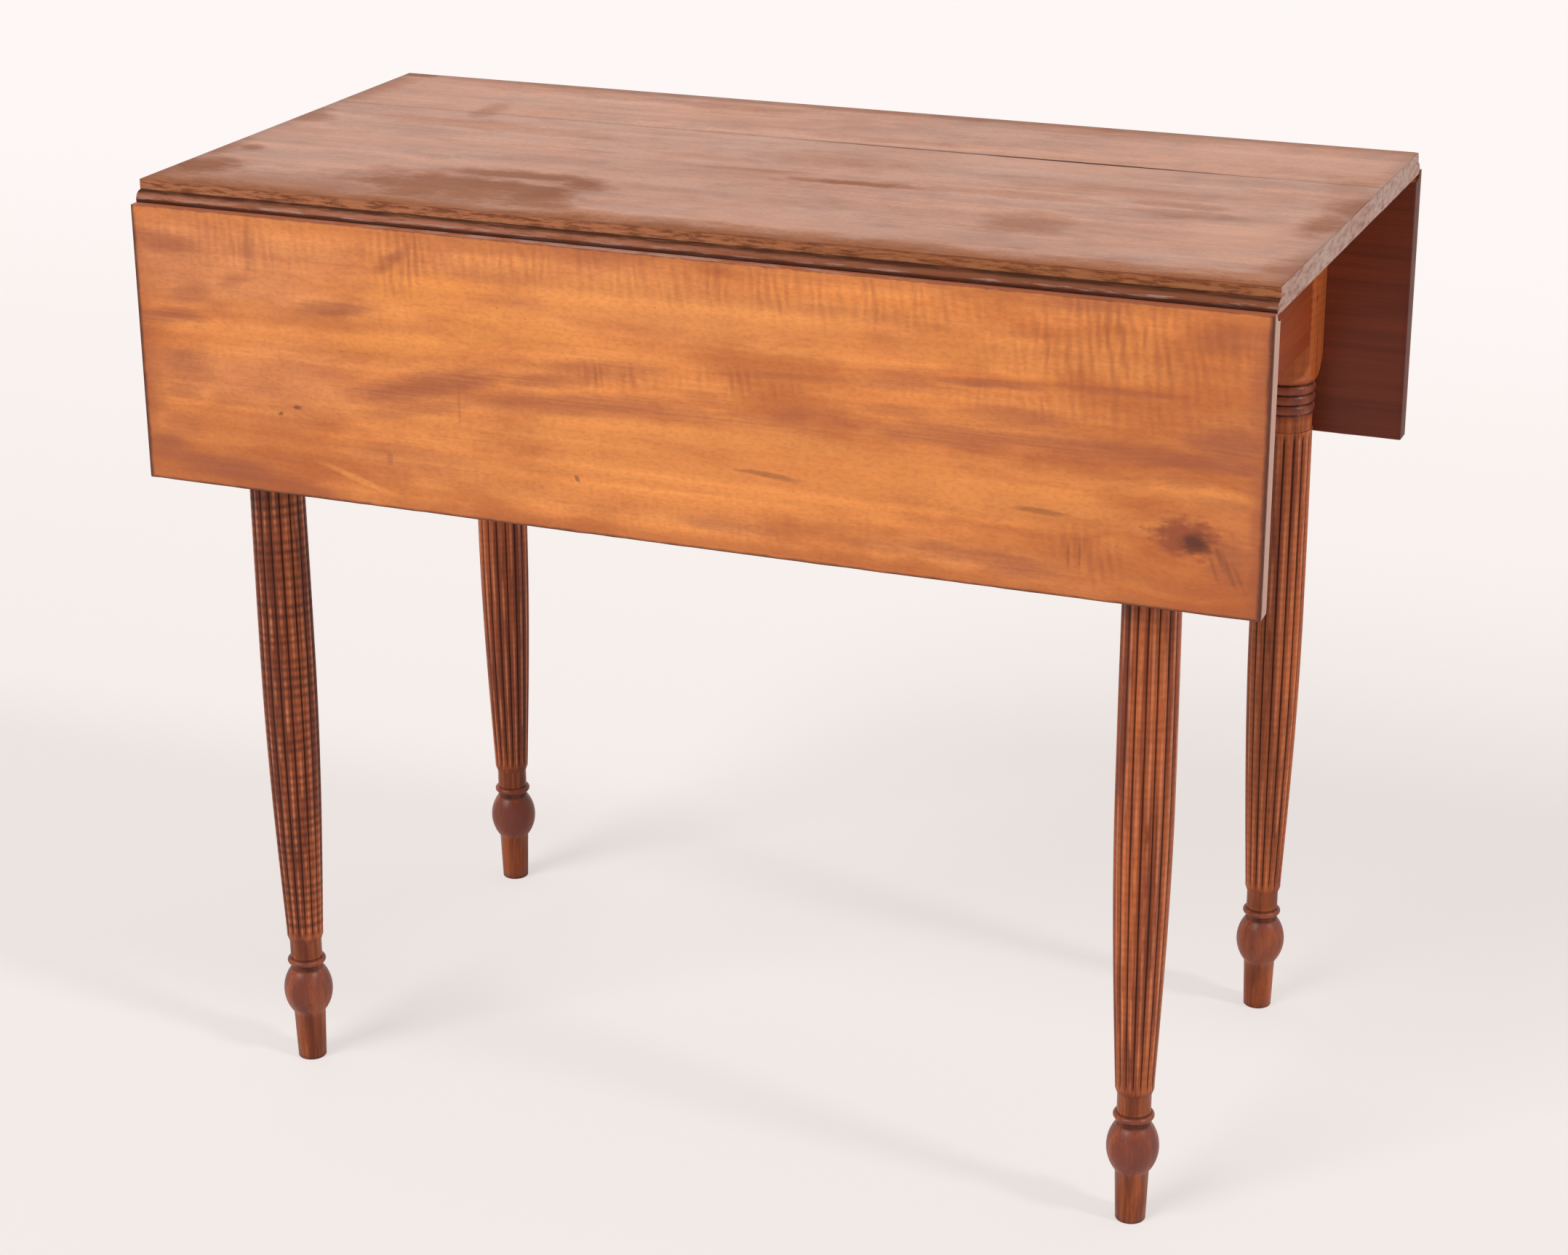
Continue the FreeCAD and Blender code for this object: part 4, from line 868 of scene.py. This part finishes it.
def legProfile():
    points = leg["peg"] + arcThrough(*leg["ball"]) + leg["ring"][:1]
    points += arcThrough(*leg["ring"]) + leg["neck"]
    low, high = leg["shaft"]
    count = int((high - low) / leg["step"])
    points += [(shaftRadius(i / count), low + (high - low) * i / count) for i in range(count + 1)]
    points += leg["band"]
    beads = leg["beads"]
    for number in range(beads["count"]):
        start = beads["bottom"] + beads["height"] * number
        points += arcThrough((beads["groove"], start), (beads["crown"], start + beads["height"] / 2),
                             (beads["groove"], start + beads["height"]))
    corner = leg["post"] / 2 * math.sqrt(2)
    outShare, upShare = leg["pommel"]["shares"]
    bottom, head = leg["pommel"]["bottom"], leg["pommel"]["top"]
    waist = (beads["groove"] + outShare * (corner - beads["groove"]), bottom + upShare * (head - bottom))
    points += arcThrough((beads["groove"], bottom), waist, (corner, head))
    under = leg["postTop"] - leg["topRound"]
    points += [(corner, head + (under - head) * i / 8) for i in range(1, 9)]
    return points + [(corner - leg["topRound"], leg["postTop"]), (0.0, leg["postTop"])]


def makeLegTree(rows):
    tree, g, entry = geometryGroup("turnedLeg", {
        "Profile": "Geometry", "Around": leg["around"], "Rows": rows, "Reeds": leg["reeds"],
        "Reed Radius": leg["reedRadiusShare"], "Shaft Bottom": leg["shaft"][0] * mm,
        "Shaft Top": leg["shaft"][1] * mm, "Run Out": leg["runOut"] * mm, "Post Width": leg["post"] * mm,
        "Squareness": leg["squareness"], "Collar Top": leg["pommel"]["bottom"] * mm, "Place": (0, 0, 0),
        "Finish": "Material"})
    columns = g.plus(entry["Around"], 1.0)
    sheet = g.add("GeometryNodeMeshGrid", {"Size X": 1.0, "Size Y": 1.0, "Vertices X": entry["Rows"],
                                           "Vertices Y": columns}).outputs["Mesh"]
    index = g.add("GeometryNodeInputIndex").outputs[0]
    row = g.calc("FLOOR", g.calc("DIVIDE", g.plus(index, 0.5), columns))
    column = g.minus(index, g.times(row, columns))
    angle = g.calc("DIVIDE", g.times(column, math.tau), entry["Around"])
    sample = g.add("GeometryNodeSampleIndex", {"Geometry": entry["Profile"], "Index": row},
                   data_type="FLOAT_VECTOR")
    g.feed(sample.inputs["Value"], g.add("GeometryNodeInputPosition").outputs[0])
    turning = g.split(sample.outputs[0])
    radius, level = turning["X"], turning["Z"]
    # round reeds: the far side of a small circle that sits inside the shaft's radius
    turns = g.times(column, g.calc("DIVIDE", entry["Reeds"], entry["Around"]))
    phase = g.minus(g.calc("FRACT", g.plus(turns, 0.5)), 0.5)
    local = g.times(phase, g.calc("DIVIDE", math.tau, entry["Reeds"]))
    rest = g.minus(1.0, entry["Reed Radius"])
    chord = g.times(rest, g.calc("SINE", local))
    inside = g.minus(g.times(entry["Reed Radius"], entry["Reed Radius"]), g.times(chord, chord))
    lobe = g.plus(g.times(rest, g.calc("COSINE", local)), g.calc("SQRT", g.most(inside, 0.0)))
    starts = g.rise(level, entry["Shaft Bottom"], g.plus(entry["Shaft Bottom"], entry["Run Out"]))
    stops = g.rise(level, entry["Shaft Top"], g.minus(entry["Shaft Top"], entry["Run Out"]))
    reeded = g.times(starts, stops)
    share = g.scaled(g.minus(lobe, 1.0), reeded, 1.0)
    # square post: flats cut the turning above the collar
    cosine = g.calc("COSINE", angle)
    sine = g.calc("SINE", angle)
    powers = [g.calc("POWER", g.size(side), entry["Squareness"]) for side in (cosine, sine)]
    longest = g.calc("POWER", g.plus(*powers), g.calc("DIVIDE", 1.0, entry["Squareness"]))
    flat = g.calc("DIVIDE", g.times(entry["Post Width"], 0.5), longest)
    below = g.calc("LESS_THAN", level, g.plus(entry["Collar Top"], 0.00001))
    reach = g.calc("MINIMUM", g.times(radius, share), g.plus(flat, below))
    turned = g.join(g.times(reach, cosine), g.times(reach, sine), level)
    marked = storeValue(g, sheet, "groove", g.times(reeded, g.rise(g.size(phase), 0.35, 0.49)))
    marked = storeValue(g, marked, "crest", g.times(reeded, g.rise(g.size(phase), 0.2, 0.02)))
    spot = g.vector("ADD", turned, entry["Place"])
    shaped = g.add("GeometryNodeSetPosition", {"Geometry": marked, "Position": spot}).outputs[0]
    joined = g.add("GeometryNodeMergeByDistance", {"Geometry": shaped, "Distance": 0.00001}).outputs[0]
    closeGroup(g, joined, entry["Finish"])
    return tree


profilePoints = legProfile()
profile = bpy.data.meshes.new("legProfile")
steps = [(i, i + 1) for i in range(len(profilePoints) - 1)]
profile.from_pydata([(r * mm, 0, z * mm) for r, z in profilePoints], steps, [])
legTree = makeLegTree(len(profilePoints))
legFinishes = {"front_left_leg": "stripedLeg", "front_right_leg": "plainLeg",
               "back_left_leg": "plainLeg", "back_right_leg": "plainLegPaintedLight"}
for nodeName, material in legFinishes.items():
    low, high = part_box(nodeName)
    middle = (low + high) / 2
    inputs = {"Place": (middle.x, middle.y, 0.0), "Finish": finishes[material]}
    mesh = runTree(nodeName + "_turned", legTree, profile.copy(), inputs, leg["shadeAngle"])
    addPiece(nodeName + "_turned", mesh, "frame", material, nodeName)
print("legs turned:", len(profilePoints), "rows of", leg["around"])


# Pegs: sixteen whittled draw-bore pegs whose heads stand just proud of the posts

peg = {"sides": 11, "radius": 3.0, "length": 6.0, "proud": 0.25, "dome": 0.12, "sizeSpread": (0.9, 1.04),
       "seed": 7, "shadeAngle": 50, "sortGrid": 20.0}


def pegPlaces():
    shape = openMesh(nodes["tenon_dowels"].data)
    waiting = set(shape.verts)
    places = []
    while waiting:
        found = [waiting.pop()]
        for vert in found:
            for edge in vert.link_edges:
                other = edge.other_vert(vert)
                if other in waiting:
                    waiting.remove(other)
                    found.append(other)
        low = Vector([min(v.co[i] for v in found) for i in range(3)])
        high = Vector([max(v.co[i] for v in found) for i in range(3)])
        middle = (low + high) / 2
        axis = max(range(3), key=lambda i: (high - low)[i])
        aim = Vector((0, 0, 0))
        aim[axis] = math.copysign(1.0, middle[axis])
        head = middle + aim * (high - low)[axis] / 2
        places.append((head - aim * (peg["length"] / 2 - peg["proud"]) * mm, aim))
    shape.free()
    # a fixed order, so that every run gives a peg the same turn and size
    return sorted(places, key=lambda place: [round(value / (peg["sortGrid"] * mm)) for value in place[0]])


def makePegTree():
    smallest, largest = peg["sizeSpread"]
    tree, g, entry = geometryGroup("pegs", {
        "Places": "Geometry", "Sides": peg["sides"], "Radius": peg["radius"] * mm,
        "Length": peg["length"] * mm, "Dome": peg["dome"] * mm, "Smallest": smallest, "Largest": largest,
        "Seed": peg["seed"], "Finish": "Material"})
    rod = g.add("GeometryNodeMeshCylinder", {"Vertices": entry["Sides"], "Radius": entry["Radius"],
                                             "Depth": entry["Length"], "Fill Segments": 3}).outputs["Mesh"]
    x, y, z = g.split(g.add("GeometryNodeInputPosition").outputs[0])
    away = g.vector("LENGTH", g.join(x, y, 0.0))
    fall = g.times(g.rise(away, g.times(entry["Radius"], 0.3), entry["Radius"]), entry["Dome"], -1.0)
    head = g.calc("GREATER_THAN", z, 0.0)
    sunk = g.join(0.0, 0.0, g.times(fall, head))
    domed = g.add("GeometryNodeSetPosition", {"Geometry": rod, "Offset": sunk}).outputs[0]
    aim = g.add("GeometryNodeInputNamedAttribute", {"Name": "aim"}, data_type="FLOAT_VECTOR").outputs[0]
    towards = g.add("FunctionNodeAlignRotationToVector", {"Vector": aim}, axis="Z").outputs[0]
    spin = g.add("FunctionNodeRandomValue", {2: 0.0, 3: math.tau, "Seed": entry["Seed"]}, data_type="FLOAT")
    spun = g.add("FunctionNodeRotateRotation", {"Rotation": towards}, rotation_space="LOCAL")
    g.feed(spun.inputs["Rotate By"], g.join(0.0, 0.0, spin.outputs[1]))
    spread = {2: entry["Smallest"], 3: entry["Largest"], "Seed": g.plus(entry["Seed"], 1.0)}
    size = g.add("FunctionNodeRandomValue", spread, data_type="FLOAT").outputs[1]
    placed = g.add("GeometryNodeInstanceOnPoints", {
        "Points": entry["Places"], "Instance": domed, "Rotation": spun.outputs[0],
        "Scale": g.join(size, size, 1.0)}).outputs[0]
    closeGroup(g, placed, entry["Finish"])
    return tree


places = pegPlaces()
spots = bpy.data.meshes.new("pegPlaces")
spots.from_pydata([place for place, aim in places], [], [])
aims = spots.attributes.new("aim", "FLOAT_VECTOR", "POINT")
for number, (place, aim) in enumerate(places):
    aims.data[number].vector = aim
inputs = {"Finish": finishes["plainLeg"]}
mesh = runTree("tenon_pegs", makePegTree(), spots, inputs, peg["shadeAngle"])
addPiece("tenon_pegs", mesh, "frame", "plainLeg", "tenon_dowels")
print("pegs:", len(places))


# CAD pieces that keep their own shape

kept = {
    "pineX": ["back_inner_rail", "front_inner_rail"] + [n for n in nodes if n.endswith("glue_block")],
    "iron": [n for n in nodes if "hinge" in n or n in ("back_fly_pin", "front_fly_pin", "top_screws")],
}
for material, names in kept.items():
    for nodeName in names:
        dress(nodes[nodeName].data, material)
print("CAD pieces dressed:", sum(len(names) for names in kept.values()))


# Pale floor: what the camera sees of it is mostly its own brightness, with a faint shadow

stage = {
    "near": colour(0.90, 0.845, 0.815), "far": colour(1.02, 0.965, 0.96), "fade": (0.0, 3000.0),
    "shader": {"Base Color": colour(0.84, 0.80, 0.785), "Roughness": 0.85, "Specular IOR Level": 0.1},
    "glow": 0.64, "half": 14.0,
}


def makeStage():
    g = Finish("paleFloor", "x", stage)
    shader = g.tree.nodes["Principled BSDF"]
    for title, value in stage["shader"].items():
        shader.inputs[title].default_value = value
    tone = g.tint(g.rise(g.split(g.place)[1], *stage["fade"]), stage["near"], stage["far"])
    bright = g.add("ShaderNodeEmission", {"Color": tone})
    seen = g.times(g.add("ShaderNodeLightPath").outputs["Is Camera Ray"], stage["glow"])
    mixed = g.add("ShaderNodeMixShader", {0: seen, 1: shader.outputs[0], 2: bright.outputs[0]})
    g.feed(g.tree.nodes["Material Output"].inputs["Surface"], mixed.outputs[0])
    half = stage["half"]
    mesh = bpy.data.meshes.new("floor")
    corners = [(-half, -half, 0), (half, -half, 0), (half, half, 0), (-half, half, 0)]
    mesh.from_pydata(corners, [], [(0, 1, 2, 3)])
    mesh.materials.append(g.material)
    floor = addObject("floor", mesh)


makeStage()

# Two broad soft lights in front, and a room that is paler behind the table than behind the camera

lamps = {
    "leftSoftbox": {"azimuth": -27, "elevation": 42, "power": 1.98, "angle": 28},
    "rightSoftbox": {"azimuth": 80, "elevation": 40, "power": 1.14, "angle": 9},
}
lampTint = (1.0, 0.985, 0.97)
for name, lamp in lamps.items():
    light = bpy.data.lights.new(name, "SUN")
    light.energy = lamp["power"]
    light.angle = math.radians(lamp["angle"])
    light.color = lampTint
    source = addObject(name, light)
    turn, lift = math.radians(lamp["azimuth"]), math.radians(lamp["elevation"])
    towards = Vector((math.sin(turn) * math.cos(lift), -math.cos(turn) * math.cos(lift), math.sin(lift)))
    source.rotation_euler = towards.to_track_quat("Z", "Y").to_euler()

room = {"ambient": 0.62, "wall": colour(0.96, 0.93, 0.92), "front": 0.4, "turn": (-0.7, 0.4)}
world = bpy.data.worlds.new("paleRoom")
world.use_nodes = True
scene.world = world
g = Graph(world.node_tree)
sky = world.node_tree.nodes["Background"]
path = g.add("ShaderNodeLightPath").outputs
mirrored = g.most(path["Is Glossy Ray"], path["Is Transmission Ray"])
shown = g.most(path["Is Camera Ray"], mirrored)
backwards = g.split(g.add("ShaderNodeTexCoord").outputs["Generated"])[1]
level = g.rise(backwards, *room["turn"], room["front"], 1.0)
sky.inputs["Color"].default_value = room["wall"]
g.feed(sky.inputs["Strength"], g.times(level, g.scaled(shown, 1.0 - room["ambient"], room["ambient"])))
print("stage and lights ready")


# Camera at the photograph's place

camera = {"place": (924.3, -2263.4, 1283.1), "yaw": 22.308, "pitch": 20.812, "roll": 0.346,
          "focalPixels": 4558.8, "photoWidth": 2156, "sensor": 36.0}
yaw, pitch, roll = (math.radians(camera[k]) for k in ("yaw", "pitch", "roll"))
forward = Vector((-math.sin(yaw) * math.cos(pitch), math.cos(yaw) * math.cos(pitch), -math.sin(pitch)))
level = Vector((math.cos(yaw), math.sin(yaw), 0))
down = forward.cross(level)
right = level * math.cos(roll) + down * math.sin(roll)
down = down * math.cos(roll) - level * math.sin(roll)
eye = bpy.data.cameras.new("photoCamera")
eye.sensor_width = camera["sensor"]
eye.lens = camera["focalPixels"] / camera["photoWidth"] * camera["sensor"]
eye.clip_end = 100
viewer = addObject("photoCamera", eye)
axes = Matrix((right, -down, -forward)).transposed().to_4x4()
viewer.matrix_world = Matrix.Translation(Vector(camera["place"]) * mm) @ axes
scene.camera = viewer
